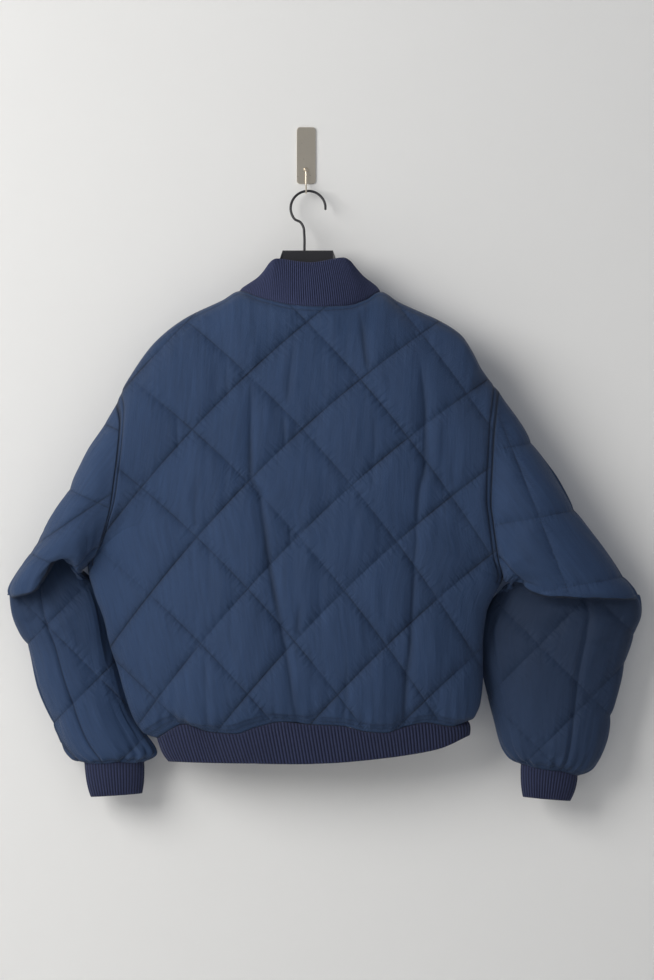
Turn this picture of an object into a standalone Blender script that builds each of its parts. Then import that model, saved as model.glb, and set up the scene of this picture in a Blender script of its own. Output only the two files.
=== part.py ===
"""Quilted bomber jacket hanging on a hanger and a wall hook, its back to the room.

Frame: origin at the centre of the wall plate's back face, +Y into the wall, +Z up, +X to the right
of someone looking at the wall. Metres. Left and right are the wearer's: the left sleeve is at -X.
"""
import math

import bmesh
import bpy
import numpy as np
from mathutils import Vector
from mathutils.geometry import delaunay_2d_cdt

for old in list(bpy.data.objects):
    bpy.data.objects.remove(old, do_unlink=True)

# ------------------------------------------------------------------ sizes
SCALE = 0.0014          # metres of garment for one unit of the tables' across and down columns
PLATE_ACROSS = 306.0    # the wall plate's centre in those units
PLATE_DOWN = 153.5
WALL = 0.003            # quilted cloth at its stitch lines
PUFF = 0.0065           # how far a quilted cell stands out of its stitch lines
SEAM_GAP = 0.0003
RIB_WALL = 0.0028
RIB_RELIEF = 0.0013
HEM_RIBS, COLLAR_RIBS, CUFF_RIBS = 198, 104, 44
TORSO_HALF_GIRTH = 0.60
TORSO_LENGTH = 0.60
SLEEVE_HALF_GIRTH = 0.175
TOP_ROUND = 0.70        # share of the height where back and front begin to close to the shoulder
GRID_BACK, GRID_FRONT, GRID_SLEEVE, GRID_INSIDE = 0.025, 0.034, 0.030, 0.050
LINE_STEP = 0.021
ZIP_HALF_GAP = 0.004
HANGER_THICK = 0.012

# Left edge of the back: hem, side, underarm, armhole seam up to the shoulder.
LEFT_EDGE = [  # down, across
    (738, 157), (732.6, 143), (716, 132.6), (690.5, 124), (669.5, 118), (644, 109.5), (619, 104),
    (594, 95), (566, 88), (554, 97), (530.5, 105), (507, 111.5), (482, 115), (449, 119),
    (423, 120.7), (404, 117)]
RIGHT_EDGE = [  # down, across
    (721, 468), (716, 475), (701, 480.6), (676, 483), (645, 483), (613, 486), (590, 496.5),
    (578, 502.5), (560, 498), (545, 495.6), (520, 492), (503, 490), (462, 491.5), (437, 493),
    (413, 495.6), (391, 498)]
# Shoulder line and, between the neck points, the seam of the collar at the back.
TOP_EDGE = [  # across, down
    (117, 404), (121, 393), (128, 380), (156, 341.5), (186, 318), (223, 300), (240, 291),
    (259, 297.5), (294, 305.5), (317, 307), (347, 306), (366, 300), (380.5, 291.5), (398, 301.5),
    (416, 310), (439, 320.5), (461, 335), (472, 351), (482, 370), (498, 391)]
HEM_SEAM = [  # across, down
    (157, 738), (185, 723.5), (209, 731), (236, 733), (257, 726), (282, 721), (311, 723.5),
    (342, 725), (367, 731), (386, 732), (405, 726), (425, 722), (451, 726), (468, 721)]
HEM_BOTTOM = [  # across, down
    (169, 761), (209, 762), (257, 762.5), (294, 763), (330, 762), (367, 759), (408, 754),
    (439, 748), (469, 735)]
NECK_LEFT, NECK_RIGHT = 240.0, 380.5
FRONT_NECK_DROP = 60.0
HEM_DEPTH = 0.034

# Half depths of the body from its middle plane.
BODY_DEPTH = [  # share of height, back m, front m
    (0.00, 0.038, 0.034), (0.05, 0.052, 0.044), (0.14, 0.059, 0.050), (0.45, 0.060, 0.052),
    (0.75, 0.057, 0.050), (1.00, 0.050, 0.044)]
ARMHOLE_DEPTH = 0.043
NECK_DEPTH_BACK, NECK_DEPTH_FRONT = 0.038, 0.042
MIDDLE_PLANE = [  # z, y of the plane between back and front
    (-1.10, -0.056), (-0.82, -0.058), (-0.60, -0.066), (-0.30, -0.069), (-0.25, -0.066),
    (-0.20, -0.055), (-0.15, -0.041), (-0.03, -0.013)]

# Crossings of the quilting lines on the back: falling lines A, rising lines B.
CROSSINGS = [  # A, B, across, down
    (0, 0, 307, 321), (0, 1, 251, 376), (0, 2, 198, 431), (0, 3, 143, 487), (1, -1, 416, 337),
    (1, 0, 356, 380), (1, 1, 303, 428), (1, 2, 250, 479), (1, 3, 198, 535), (1, 4, 145, 596),
    (2, -1, 474, 390), (2, 0, 405, 439), (2, 1, 347, 487), (2, 2, 291, 540), (2, 3, 250.5, 584.5),
    (2, 4, 204, 644), (2, 5, 152.5, 703), (3, 0, 452, 497), (3, 1, 397, 542), (3, 2, 341, 592.5),
    (3, 3, 296, 635), (3, 4, 259, 688), (4, 0, 495, 555), (4, 1, 439, 606), (4, 2, 388, 646),
    (4, 3, 336.5, 694), (5, 1, 466.4, 647), (5, 2, 424, 703)]

# The long drape folds of the back, troughs running down it.
BACK_FOLDS = [  # name, half width m, depth m, path of (down, across)
    ("centre", 0.011, 0.0065, [(372, 252), (420, 250.5), (475, 250), (494, 260), (559, 269),
                               (614, 279), (656, 287), (702, 294), (722, 298)]),
    ("right", 0.010, 0.0060, [(350, 417), (421, 424), (462, 424), (496, 417), (569, 413.6),
                              (643, 410), (694, 405), (722, 404)])]

# Rings of the sleeves. across/down of the outer and the inner edge; depth toward the room and
# toward the wall from the ring's own middle; rise of the fold lip at the elbow.
SLEEVE_LEFT = [  # along m, outer across, down, inner across, down, room m, wall m, middle y, rise
    (0.000, 117, 404, 88, 566, 0.043, 0.043, -0.069, 0),
    (0.035, 90, 452, 84, 569, 0.046, 0.043, -0.069, 0),
    (0.075, 62, 501, 82, 571, 0.050, 0.042, -0.067, 2),
    (0.110, 42, 536, 80.5, 573, 0.049, 0.040, -0.064, 7),
    (0.138, 24, 563, 79.5, 575, 0.046, 0.038, -0.061, 17),
    (0.162, 10.5, 591, 79, 578, 0.041, 0.037, -0.057, 31),
    (0.182, 11.6, 598, 84, 580, 0.012, 0.033, -0.047, 29),
    (0.197, 15, 615, 92, 589, 0.020, 0.030, -0.042, 14),
    (0.220, 22, 634, 99, 606, 0.026, 0.028, -0.040, 4),
    (0.250, 32, 655, 105.5, 628, 0.028, 0.026, -0.037, 0),
    (0.295, 41, 688, 114, 656, 0.028, 0.026, -0.036, 0),
    (0.335, 49.5, 712, 122.5, 684, 0.028, 0.026, -0.036, 0),
    (0.370, 58, 735, 132, 712, 0.028, 0.026, -0.036, 0),
    (0.400, 65, 752, 146, 735, 0.028, 0.026, -0.037, 0),
    (0.418, 73, 760, 156, 753, 0.025, 0.024, -0.040, 0),
    (0.430, 84, 763, 144, 762, 0.016, 0.016, -0.040, 0)]
SLEEVE_RIGHT = [  # along m, outer across, down, inner across, down, room m, wall m, middle y, rise
    (0.000, 498, 391, 502.5, 578, 0.043, 0.043, -0.069, 0),
    (0.040, 528, 438, 506, 581, 0.046, 0.043, -0.069, 0),
    (0.080, 556, 484, 508, 583, 0.050, 0.042, -0.067, 1),
    (0.115, 584, 528, 510, 585, 0.049, 0.040, -0.064, 3),
    (0.142, 611, 563, 511, 587, 0.046, 0.038, -0.061, 7),
    (0.166, 634, 592, 508, 589, 0.041, 0.037, -0.057, 12),
    (0.186, 638, 600, 503, 596, 0.022, 0.034, -0.048, 10),
    (0.201, 639.5, 613, 495, 609, 0.027, 0.031, -0.043, 5),
    (0.224, 635.5, 630, 483.5, 636, 0.031, 0.030, -0.041, 1),
    (0.252, 628.6, 652, 482.5, 664, 0.032, 0.030, -0.041, 0),
    (0.292, 620, 682, 486, 690, 0.032, 0.030, -0.041, 0),
    (0.337, 611, 716, 494, 718, 0.032, 0.030, -0.041, 0),
    (0.377, 602, 748, 501, 744, 0.031, 0.029, -0.041, 0),
    (0.405, 591.6, 767, 509, 757, 0.027, 0.026, -0.041, 0),
    (0.418, 578, 775, 521, 764.5, 0.016, 0.016, -0.041, 0)]
ELBOW_LIP = {"left": (0.162, 0.182), "right": (0.166, 0.186)}   # along, the two edges of the step
LIP_PLACE = {"left": (math.radians(116), math.radians(27)), "right": (math.radians(148), math.radians(20))}
SLEEVE_SEAM_TOP = math.radians(140)
SLEEVE_SEAM_LOW = math.radians(69)
SLEEVE_QUILT = {"left": (0.150, 0.104, 0.322), "right": (0.150, 0.062, 0.030)}  # cell, crossing at
SLEEVE_RADIUS = SLEEVE_HALF_GIRTH / math.pi
CUFF_END = {  # outer across, down, inner across, down
    "left": (91, 797, 141, 793.5), "right": (570, 801, 524, 797)}
COLLAR_TOP = [  # turn round the neck 0..1 from front left to front right, across, down, y off middle
    (0.00, 299, 322, 0.040), (0.08, 284, 312, 0.037), (0.20, 268, 289, 0.022),
    (0.30, 267, 270, 0.000), (0.38, 277, 259, -0.024), (0.50, 310, 263, -0.031),
    (0.62, 343, 258, -0.024), (0.70, 354, 269, 0.000), (0.80, 353, 290, 0.022),
    (0.92, 334, 312, 0.037), (1.00, 315, 322, 0.040)]
HANGER_TOP = [  # across, down: the middle, then down inside the collar to the shoulders
    (282.5, 250), (279.7, 258), (277.5, 270), (270, 285), (257, 296.5), (240, 296)]
HANGER_END = 0.190


# ------------------------------------------------------------------ curves
def curve(xs, ys):
    """Smooth curve through rows that keeps to their rises and falls."""
    xs, ys = np.asarray(xs, float), np.asarray(ys, float)
    h = np.diff(xs)
    s = np.diff(ys) / h
    m = np.zeros_like(ys)
    both = s[:-1] * s[1:]
    m[1:-1] = np.where(both > 0, 2 * both / np.where(both > 0, s[:-1] + s[1:], 1), 0)
    m[0], m[-1] = s[0], s[-1]

    def at(x):
        x = np.clip(x, xs[0], xs[-1])
        i = np.clip(np.searchsorted(xs, x) - 1, 0, len(h) - 1)
        t = (x - xs[i]) / h[i]
        return (ys[i] * (1 + 2 * t) * (1 - t) ** 2 + m[i] * h[i] * t * (1 - t) ** 2
                + ys[i + 1] * t * t * (3 - 2 * t) + m[i + 1] * h[i] * t * t * (t - 1))
    return at


def metres_x(across):
    return (np.asarray(across, float) - PLATE_ACROSS) * SCALE


def metres_z(down):
    return (PLATE_DOWN - np.asarray(down, float)) * SCALE


def step(t):
    t = np.clip(t, 0, 1)
    return t * t * (3 - 2 * t)


def edge_curve(rows):
    down = np.array([r[0] for r in rows], float)
    share = (down[0] - down) / (down[0] - down[-1])
    return curve(share, metres_x([r[1] for r in rows]))


def level_curve(rows):
    across = np.array([r[0] for r in rows], float)
    share = (across - across[0]) / (across[-1] - across[0])
    return curve(share, metres_z([r[1] for r in rows]))


left_x, right_x = edge_curve(LEFT_EDGE), edge_curve(RIGHT_EDGE)
hem_z, top_z, hem_bottom_z = level_curve(HEM_SEAM), level_curve(TOP_EDGE), level_curve(HEM_BOTTOM)
back_depth = curve([r[0] for r in BODY_DEPTH], [r[1] for r in BODY_DEPTH])
front_depth = curve([r[0] for r in BODY_DEPTH], [r[2] for r in BODY_DEPTH])
middle_y = curve([r[0] for r in MIDDLE_PLANE], [r[1] for r in MIDDLE_PLANE])
UNDERARM = {"left": (738 - 566) / (738 - 404), "right": (721 - 578) / (721 - 391)}
NECK_U = ((NECK_LEFT - 117) / (498 - 117), (NECK_RIGHT - 117) / (498 - 117))


# ------------------------------------------------------------------ body of the jacket
def neck_share(u):
    t = np.clip((u - NECK_U[0]) / (NECK_U[1] - NECK_U[0]), 0, 1)
    return np.sin(math.pi * t)


def armhole_depth(v, side):
    w = np.clip((v - UNDERARM[side]) / (1 - UNDERARM[side]), 0, 1)
    return ARMHOLE_DEPTH * np.sqrt(4 * w * (1 - w))


def fold_depth(x, z):
    """How far the drape folds of the back sink at a place."""
    total = 0 * x
    for name, half, deep, path in BACK_FOLDS:
        down = PLATE_DOWN - z / SCALE
        line = curve([p[0] for p in path], metres_x([p[1] for p in path]))
        ends = step((down - path[0][0]) / 50) * step((path[-1][0] + 6 - down) / 16)
        total = total + deep * ends * np.exp(-((x - line(down)) / half) ** 2)
    return total


def body(turn, v, front=False):
    """Outer cloth of the body: turn 0..pi from the left to the right edge, v 0..1 hem to top."""
    u = (1 - np.cos(turn)) / 2
    xl, xr = left_x(v), right_x(v)
    x = xl + (xr - xl) * u
    zt = top_z(u)
    if front:
        x = x + 4 * u * (1 - u) * (metres_x(307) - (xl + xr) / 2)
        zt = zt - FRONT_NECK_DROP * SCALE * neck_share(u) + (metres_z(291) - zt) * step(neck_share(u) * 3)
    zb = hem_z(u)
    z = zb + (zt - zb) * v
    half = (front_depth(v) if front else back_depth(v)) * np.sqrt(
        1 - np.clip((v - TOP_ROUND) / (1 - TOP_ROUND), 0, 1) ** 2)
    arm = (1 - u) * armhole_depth(v, "left") + u * armhole_depth(v, "right")
    neck = (NECK_DEPTH_FRONT if front else NECK_DEPTH_BACK) * neck_share(u) ** 0.7 * step((v - 0.8) / 0.2)
    d = np.sqrt((arm * np.cos(turn)) ** 2 + (half * np.sin(turn)) ** 2 + neck ** 2)
    if front:
        y = middle_y(z) + d + SEAM_GAP / 2
    else:
        y = middle_y(z) - d - SEAM_GAP / 2 + fold_depth(x, z) * np.sin(turn)
    return np.stack([x, y, z], -1)


TURN_SIZE = TORSO_HALF_GIRTH / math.pi


def body_surface(front):
    return lambda p: body(p[:, 0] / TURN_SIZE, p[:, 1] / TORSO_LENGTH, front)


def normals(surface, p, low, high, outward):
    """Unit normals of a surface at cloth places p, measured a little inside its edges."""
    e = 0.0012
    c = np.clip(p, np.asarray(low) + 2.5 * e, np.asarray(high) - 2.5 * e)
    du = surface(c + [e, 0]) - surface(c - [e, 0])
    dv = surface(c + [0, e]) - surface(c - [0, e])
    n = np.cross(du, dv)
    n /= np.linalg.norm(n, axis=1, keepdims=True) + 1e-12
    return n * outward


def body_normals(front):
    surface = body_surface(front)
    high = (TORSO_HALF_GIRTH, TORSO_LENGTH)

    def at(p):
        n = normals(surface, p, (0, 0), high, -1 if front else 1)
        side = np.where(p[:, 0] < TORSO_HALF_GIRTH / 2, UNDERARM["left"], UNDERARM["right"])
        on_side = (np.minimum(p[:, 0], high[0] - p[:, 0]) < 1e-6) & (p[:, 1] / TORSO_LENGTH <= side + 1e-6)
        u = (1 - np.cos(p[:, 0] / TURN_SIZE)) / 2
        on_top = (high[1] - p[:, 1] < 1e-6) & ((u < NECK_U[0] + 1e-6) | (u > NECK_U[1] - 1e-6))
        n[on_side | on_top, 1] = 0
        hem = p[:, 1] < 1e-6
        n[hem, 2] = 0
        neck = (high[1] - p[:, 1] < 1e-6) & (u > NECK_U[0] - 1e-6) & (u < NECK_U[1] + 1e-6)
        if neck.any():
            q = surface(p[neck])
            away = q - [metres_x(310), 0, 0]
            away[:, 1] = (q[:, 1] - middle_y(q[:, 2])) * 2
            away[:, 2] = 0
            n[neck] = away / np.linalg.norm(away, axis=1, keepdims=True) + [0, 0, 0.8]
        for name in ("left", "right"):
            arm = ((p[:, 0] < high[0] / 2) == (name == "left")) & (p[:, 1] / TORSO_LENGTH >= UNDERARM[name] - 1e-6)
            if arm.any():
                w = (p[arm, 1] / TORSO_LENGTH - UNDERARM[name]) / (1 - UNDERARM[name])
                phi = np.arccos(np.clip(2 * w - 1, -1, 1))
                away = step(armhole_distance(p[arm]) / 0.05)[:, None]
                n[arm] = n[arm] * away + armhole_normals(np.where(front, -phi, phi), name) * (1 - away)
        return n / np.linalg.norm(n, axis=1, keepdims=True)
    return at


# ------------------------------------------------------------------ quilting
def crossing_fit():
    rows = np.array(CROSSINGS, float)
    x, y = (rows[:, 2] - 306) / 200, (rows[:, 3] - 500) / 200
    terms = np.stack([np.ones_like(x), x, y, x * x, x * y, y * y], 1)
    return np.linalg.lstsq(terms, rows[:, :2], rcond=None)[0]


FIT = crossing_fit()


def cells(x, z):
    """Cell numbers (A, B) at a place on back or front; whole numbers lie on a stitch line."""
    a = (x / SCALE + PLATE_ACROSS - 306) / 200
    d = (PLATE_DOWN - z / SCALE - 500) / 200
    return np.stack([np.ones_like(a), a, d, a * a, a * d, d * d], -1) @ FIT


def place_of(cell):
    """Across and down of cell numbers, by a few Newton steps."""
    p = np.zeros((len(cell), 2))
    for _ in range(12):
        here = cells(p[:, 0], p[:, 1])
        e = 1e-4
        gx = (cells(p[:, 0] + e, p[:, 1]) - here) / e
        gz = (cells(p[:, 0], p[:, 1] + e) - here) / e
        det = gx[:, 0] * gz[:, 1] - gx[:, 1] * gz[:, 0]
        r = cell - here
        p = p + np.stack([(r[:, 0] * gz[:, 1] - r[:, 1] * gz[:, 0]) / det,
                          (gx[:, 0] * r[:, 1] - gx[:, 1] * r[:, 0]) / det], 1).clip(-0.15, 0.15)
    return p


def cloth_place(x, z, front):
    """Cloth coordinates on back or front of a place seen from the room."""
    u, v = np.full_like(x, 0.5), np.full_like(x, 0.5)
    for _ in range(40):
        turn = np.arccos(np.clip(1 - 2 * u, -1, 1))
        here = body(turn, np.clip(v, 0, 1), front)
        low, high = hem_z(u), body(turn, np.ones_like(u), front)[:, 2]
        v = (z - low) / (high - low)
        span = right_x(v) - left_x(v)
        u = np.clip(u + (x - here[:, 0]) / span, 0, 1)
    out = (v < 0) | (v > 1) | (u <= 0) | (u >= 1)
    p = np.stack([np.arccos(np.clip(1 - 2 * u, -1, 1)) * TURN_SIZE, v * TORSO_LENGTH], 1)
    p[out] = np.nan
    return p


def quilt_lines(front):
    lines = []
    for family in (0, 1):
        for number in range(-2, 7):
            run = np.arange(-3, 7.01, 0.14)
            cell = np.stack([np.full_like(run, number), run] if family == 0 else
                            [run, np.full_like(run, number)], 1)
            spot = place_of(cell)
            line = cloth_place(spot[:, 0], spot[:, 1], front)
            line[armhole_distance(line) < 0.012] = np.nan
            lines.append((line, LINE_STEP * 0.8))
    return lines


def armhole_inset():
    """Rows of points just inside the armhole seams of a body panel."""
    phi = np.radians(np.arange(20, 181, 20.0))
    lines = []
    for name, share in (("left", 0.013), ("right", 0.987)):
        v = UNDERARM[name] + (1 - UNDERARM[name]) * (1 + np.cos(phi)) / 2
        lines.append((np.stack([np.full_like(v, math.acos(1 - 2 * share) * TURN_SIZE), v * TORSO_LENGTH], 1), 0))
    return lines


def shoulder_rows():
    """Rows of points under the shoulder seam, so that the inside keeps its round."""
    turn = np.linspace(0.28, math.pi - 0.28, 22) * TURN_SIZE
    return [(np.stack([turn, np.full_like(turn, v * TORSO_LENGTH)], 1), 0) for v in (0.982, 0.950)]


def zip_edge():
    """Rows of points beside the zip on the inside of a front."""
    v = np.linspace(0, 1, 21)[1:-1] * TORSO_LENGTH
    return [(np.stack([np.full_like(v, TORSO_HALF_GIRTH / 2 + k * 0.013), v], 1), 0) for k in (-1, 1)]


def fold_lines():
    lines = []
    for name, half, deep, path in BACK_FOLDS:
        down = np.arange(path[0][0] + 8, path[-1][0] - 4, 14.0)
        across = curve([p[0] for p in path], metres_x([p[1] for p in path]))(down)
        lines.append((cloth_place(across, metres_z(down), False), LINE_STEP * 0.8))
    return lines


def cell_puff(cell):
    wave = np.abs(np.sin(math.pi * cell[:, 0]) * np.sin(math.pi * cell[:, 1]))
    return PUFF * wave ** 0.45


# ------------------------------------------------------------------ sleeves
def armhole(phi, side):
    """Seam of the sleeve on the body: phi 0 at the shoulder, pi under the arm, room side first."""
    v = UNDERARM[side] + (1 - UNDERARM[side]) * (1 + np.cos(phi)) / 2
    turn = np.full_like(phi, 0.0 if side == "left" else math.pi)
    room = np.sin(phi) >= 0
    return np.where(room[:, None], body(turn, v, False), body(turn, v, True))


def armhole_normals(phi, side):
    """Way out of the cloth along the armhole seam, the same for body and sleeve."""
    out = -1 if side == "left" else 1
    n = np.stack([out * 0.7 * np.clip(-np.cos(phi), 0, 1), -np.sin(phi), np.cos(phi)], 1)
    return n / np.linalg.norm(n, axis=1, keepdims=True)


def sleeve_rows(side):
    rows = np.array(SLEEVE_LEFT if side == "left" else SLEEVE_RIGHT, float)
    return [curve(rows[:, 0], c) for c in (metres_x(rows[:, 1]), metres_z(rows[:, 2]), metres_x(rows[:, 3]),
            metres_z(rows[:, 4]), rows[:, 5], rows[:, 6], rows[:, 7], rows[:, 8] * SCALE)], rows[-1, 0]


SLEEVE = {side: sleeve_rows(side) for side in ("left", "right")}


def sleeve_ring(phi, along, side):
    ox, oz, ix, iz, room, wall, mid, rise = [f(along) for f in SLEEVE[side][0]]
    c, s = np.cos(phi), np.sin(phi)
    x = (ox + ix) / 2 + (ox - ix) / 2 * c
    z = (oz + iz) / 2 + (oz - iz) / 2 * c
    y = mid - np.where(s >= 0, room, wall) * s
    across = np.stack([ox - ix, oz - iz], -1)
    across /= np.linalg.norm(across, axis=-1, keepdims=True)
    up = np.stack([-across[..., 1], across[..., 0]], -1) * np.where(across[..., :1] < 0, -1, 1)
    centre, width = LIP_PLACE[side]
    turn = (phi + math.pi) % (2 * math.pi) - math.pi
    lift = rise * np.exp(-((turn - centre) / width) ** 2)
    return np.stack([x + up[..., 0] * lift, y, z + up[..., 1] * lift], -1)


def sleeve(phi, along, side):
    """Outer cloth of a sleeve: phi round it from its outer edge, along it from the armhole."""
    fade = (1 - np.clip(along / 0.11, 0, 1)) ** 2
    seam = armhole(phi, side) - sleeve_ring(phi, 0 * along, side)
    p = sleeve_ring(phi, along, side) + seam * fade[:, None]
    p[:, 0] += SEAM_GAP * (-1 if side == "left" else 1)
    return p


def sleeve_surface(side):
    return lambda p: sleeve(p[:, 0] / SLEEVE_RADIUS, p[:, 1], side)


def sleeve_normals(side):
    surface, end = sleeve_surface(side), SLEEVE[side][1]

    def at(p):
        n = normals(surface, p, (-9, 0), (9, end), -1 if side == "left" else 1)
        top = p[:, 1] < 1e-6
        if top.any():
            n[top] = armhole_normals(p[top, 0] / SLEEVE_RADIUS, side)
        return n
    return at


def sleeve_cells(p, side):
    cell, s0, t0 = SLEEVE_QUILT[side]
    s = (p[:, 0] + math.pi * SLEEVE_RADIUS) % (2 * math.pi * SLEEVE_RADIUS) - math.pi * SLEEVE_RADIUS
    return np.stack([(p[:, 1] - t0 + (s - s0)) / cell, (p[:, 1] - t0 - (s - s0)) / cell], 1)


def sleeve_lines(side):
    """Stitch lines on the half turn either way from a sleeve's outer edge, then the elbow step's."""
    cell, s0, t0 = SLEEVE_QUILT[side]
    lines, end = [], SLEEVE[side][1]
    run = np.arange(0.022, end + 0.001, LINE_STEP * 0.8)
    for number in range(-6, 7):
        for slope in (1, -1):
            s = slope * (number * cell - (run - t0)) + s0
            s[np.abs(s) > math.pi * SLEEVE_RADIUS - 0.006] = np.nan
            lines.append((np.stack([s, run], 1), LINE_STEP * 0.8))
    for edge in ELBOW_LIP[side]:
        s = np.radians(np.arange(12, 169, 12.0)) * SLEEVE_RADIUS
        lines.append((np.stack([s, np.full_like(s, edge)], 1), LINE_STEP * 0.8))
    return lines


def armhole_lines():
    """Rows of points next to the armhole seam, so that its curve is kept."""
    s = np.radians(np.arange(-220, 221, 20.0)) * SLEEVE_RADIUS
    return [(np.stack([s, np.full_like(s, 0.012)], 1), 0)]


def seam_turn(along, side):
    """Place of the sleeve's seam on the side toward the wall."""
    return SLEEVE_SEAM_TOP + (SLEEVE_SEAM_LOW - SLEEVE_SEAM_TOP) * step((along - 0.03) / 0.20)


def sleeve_outline(side, under):
    """Edge of a sleeve panel in cloth places, round it in order."""
    end = SLEEVE[side][1]
    lip = sum(ELBOW_LIP[side]) / 2
    gap = SEAM_GAP / 2 * (1 if under else -1)
    upper = np.concatenate([[0.012], np.linspace(0, lip, 8)[1:-1]])
    lower = np.linspace(lip, end, 12)[1:]
    room = [(SLEEVE_SEAM_TOP, t) for t in upper] + [
        (a, lip + 2 * gap) for a in np.linspace(SLEEVE_SEAM_TOP, SLEEVE_SEAM_LOW, 7)] + [
        (SLEEVE_SEAM_LOW, t) for t in lower]
    room = [(a * SLEEVE_RADIUS + gap, t) for a, t in room]
    wall_t = np.concatenate([[0.012], np.linspace(0, end, 20)[1:]])
    if under:
        top = [(a * SLEEVE_RADIUS, 0.0) for a in np.radians(np.arange(140, 221, 20.0))]
        top[0], top[-1] = (top[0][0] + gap, 0.0), (top[-1][0] - gap, 0.0)
        wall = [((2 * math.pi - seam_turn(t, side)) * SLEEVE_RADIUS - gap, t) for t in wall_t]
        low = np.linspace(room[-1][0], wall[-1][0], 12)[1:-1]
        ring = top + wall + [(s, end) for s in low[::-1]] + room[::-1]
    else:
        top = [(a * SLEEVE_RADIUS, 0.0) for a in np.radians(np.arange(-140, 141, 20.0))]
        top[0], top[-1] = (top[0][0] - gap, 0.0), (top[-1][0] + gap, 0.0)
        wall = [(-seam_turn(t, side) * SLEEVE_RADIUS - gap, t) for t in wall_t]
        low = np.linspace(wall[-1][0], room[-1][0], 8)[1:-1]
        ring = top + room + [(s, end) for s in low[::-1]] + wall[::-1]
    return np.array(ring)


# ------------------------------------------------------------------ meshes
def material(name, colour, rough, metal=0.0):
    m = bpy.data.materials.get(name) or bpy.data.materials.new(name)
    m.use_nodes = True
    b = m.node_tree.nodes["Principled BSDF"]
    b.inputs["Base Color"].default_value = (*colour, 1)
    b.inputs["Roughness"].default_value = rough
    b.inputs["Metallic"].default_value = metal
    return m


CLOTH = material("quilted_cloth", (0.030, 0.052, 0.105), 0.6)
RIB = material("rib_knit", (0.027, 0.033, 0.070), 0.8)
BLACK = material("hanger_black", (0.02, 0.02, 0.024), 0.45)
STEEL = material("steel", (0.55, 0.53, 0.50), 0.3, 1.0)
TAPE = material("zip_tape", (0.02, 0.028, 0.055), 0.7)


def solid(name, points, faces, mat, smooth=40):
    mesh = bpy.data.meshes.new(name)
    mesh.from_pydata([tuple(map(float, p)) for p in points], [], [tuple(f) for f in faces])
    bm = bmesh.new()
    bm.from_mesh(mesh)
    bmesh.ops.triangulate(bm, faces=bm.faces[:])
    bmesh.ops.recalc_face_normals(bm, faces=bm.faces[:])
    if bm.calc_volume(signed=True) < 0:
        bmesh.ops.reverse_faces(bm, faces=bm.faces[:])
    bm.to_mesh(mesh)
    bm.free()
    ob = bpy.data.objects.new(name, mesh)
    bpy.context.collection.objects.link(ob)
    mesh.materials.append(mat)
    mesh.shade_smooth()
    mesh.set_sharp_from_angle(angle=math.radians(smooth))
    return ob


def inside(points, ring):
    """Whether cloth places lie inside an edge ring."""
    x, y = points[:, 0], points[:, 1]
    hit = np.zeros(len(points), bool)
    for (x1, y1), (x2, y2) in zip(ring, np.roll(ring, -1, 0)):
        cross = ((y1 > y) != (y2 > y))
        if y1 != y2:
            hit ^= cross & (x < (x2 - x1) * (y - y1) / (y2 - y1) + x1)
    return hit


def near(points, others):
    if not len(points) or not len(others):
        return np.full(len(points), 9.0)
    return np.sqrt(((points[:, None] - others[None]) ** 2).sum(-1)).min(1)


def dense(ring, gap=0.003):
    out = []
    for a, b in zip(ring, np.roll(ring, -1, 0)):
        n = max(1, int(np.linalg.norm(b - a) / gap))
        out.append(a + (b - a) * np.linspace(0, 1, n, endpoint=False)[:, None])
    return np.concatenate(out)


def runs(line, ring, rim, margin):
    """Stretches of a line that stay inside the edge."""
    ok = ~np.isnan(line[:, 0])
    ok[ok] = inside(line[ok], ring) & (near(line[ok], rim) > margin)
    out, now = [], []
    for keep, p in zip(ok, line):
        if keep:
            now.append(p)
        elif now:
            out.append(now)
            now = []
    return [np.array(r) for r in out + [now] if len(r) > 1]


def thin(line, gap):
    kept = [line[0]]
    for p in line[1:-1]:
        if np.linalg.norm(p - kept[-1]) > gap and np.linalg.norm(p - line[-1]) > gap * 0.6:
            kept.append(p)
    return np.array(kept + [line[-1]])


def net(ring, lines, grid, crowded):
    """Triangles filling an edge ring, with given lines as edges."""
    rim = dense(ring)
    pieces = [thin(r, gap) for line, gap in lines for r in runs(line, ring, rim, 0.007)]
    lo, hi = ring.min(0), ring.max(0)
    spots = []
    for j in range(int((hi[1] - lo[1]) / (grid * 0.87)) + 1):
        y = lo[1] + (j + 0.5) * grid * 0.87
        spots += [(lo[0] + (i + 0.25 + 0.5 * (j % 2)) * grid, y) for i in range(int((hi[0] - lo[0]) / grid) + 1)]
    spots = np.array(spots)
    spots = spots[inside(spots, ring)]
    spots = spots[(near(spots, rim) > grid * 0.45) & ~crowded(spots)]
    if pieces:
        fence = np.concatenate([a + (b - a) * np.linspace(0, 1, 8)[:, None]
                                for r in pieces for a, b in zip(r[:-1], r[1:])])
        spots = spots[near(spots, fence) > grid * 0.42]
    coords = [Vector(p) for p in ring]
    edges = []
    for r in pieces:
        edges += [(len(coords) + i, len(coords) + i + 1) for i in range(len(r) - 1)]
        coords += [Vector(p) for p in r]
    coords += [Vector(p) for p in spots]
    got = delaunay_2d_cdt(coords, edges, [list(range(len(ring)))], 1, 1e-5, True)
    points = np.array([tuple(p) for p in got[0]])
    where = {}
    for k, olds in enumerate(got[3]):
        for o in olds:
            where[o] = k
    faces = np.array([tuple(f) for f in got[2]])
    a, b, c = points[faces[:, 0]], points[faces[:, 1]], points[faces[:, 2]]
    area = np.abs((b[:, 0] - a[:, 0]) * (c[:, 1] - a[:, 1]) - (b[:, 1] - a[:, 1]) * (c[:, 0] - a[:, 0]))
    faces = faces[inside(points[faces].mean(1), ring) & (area > 1e-8)]
    used = np.unique(faces)
    renumber = {int(k): i for i, k in enumerate(used)}
    return (points[used], [tuple(renumber[int(k)] for k in f) for f in faces],
            [renumber[where[i]] for i in range(len(ring))])


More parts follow.
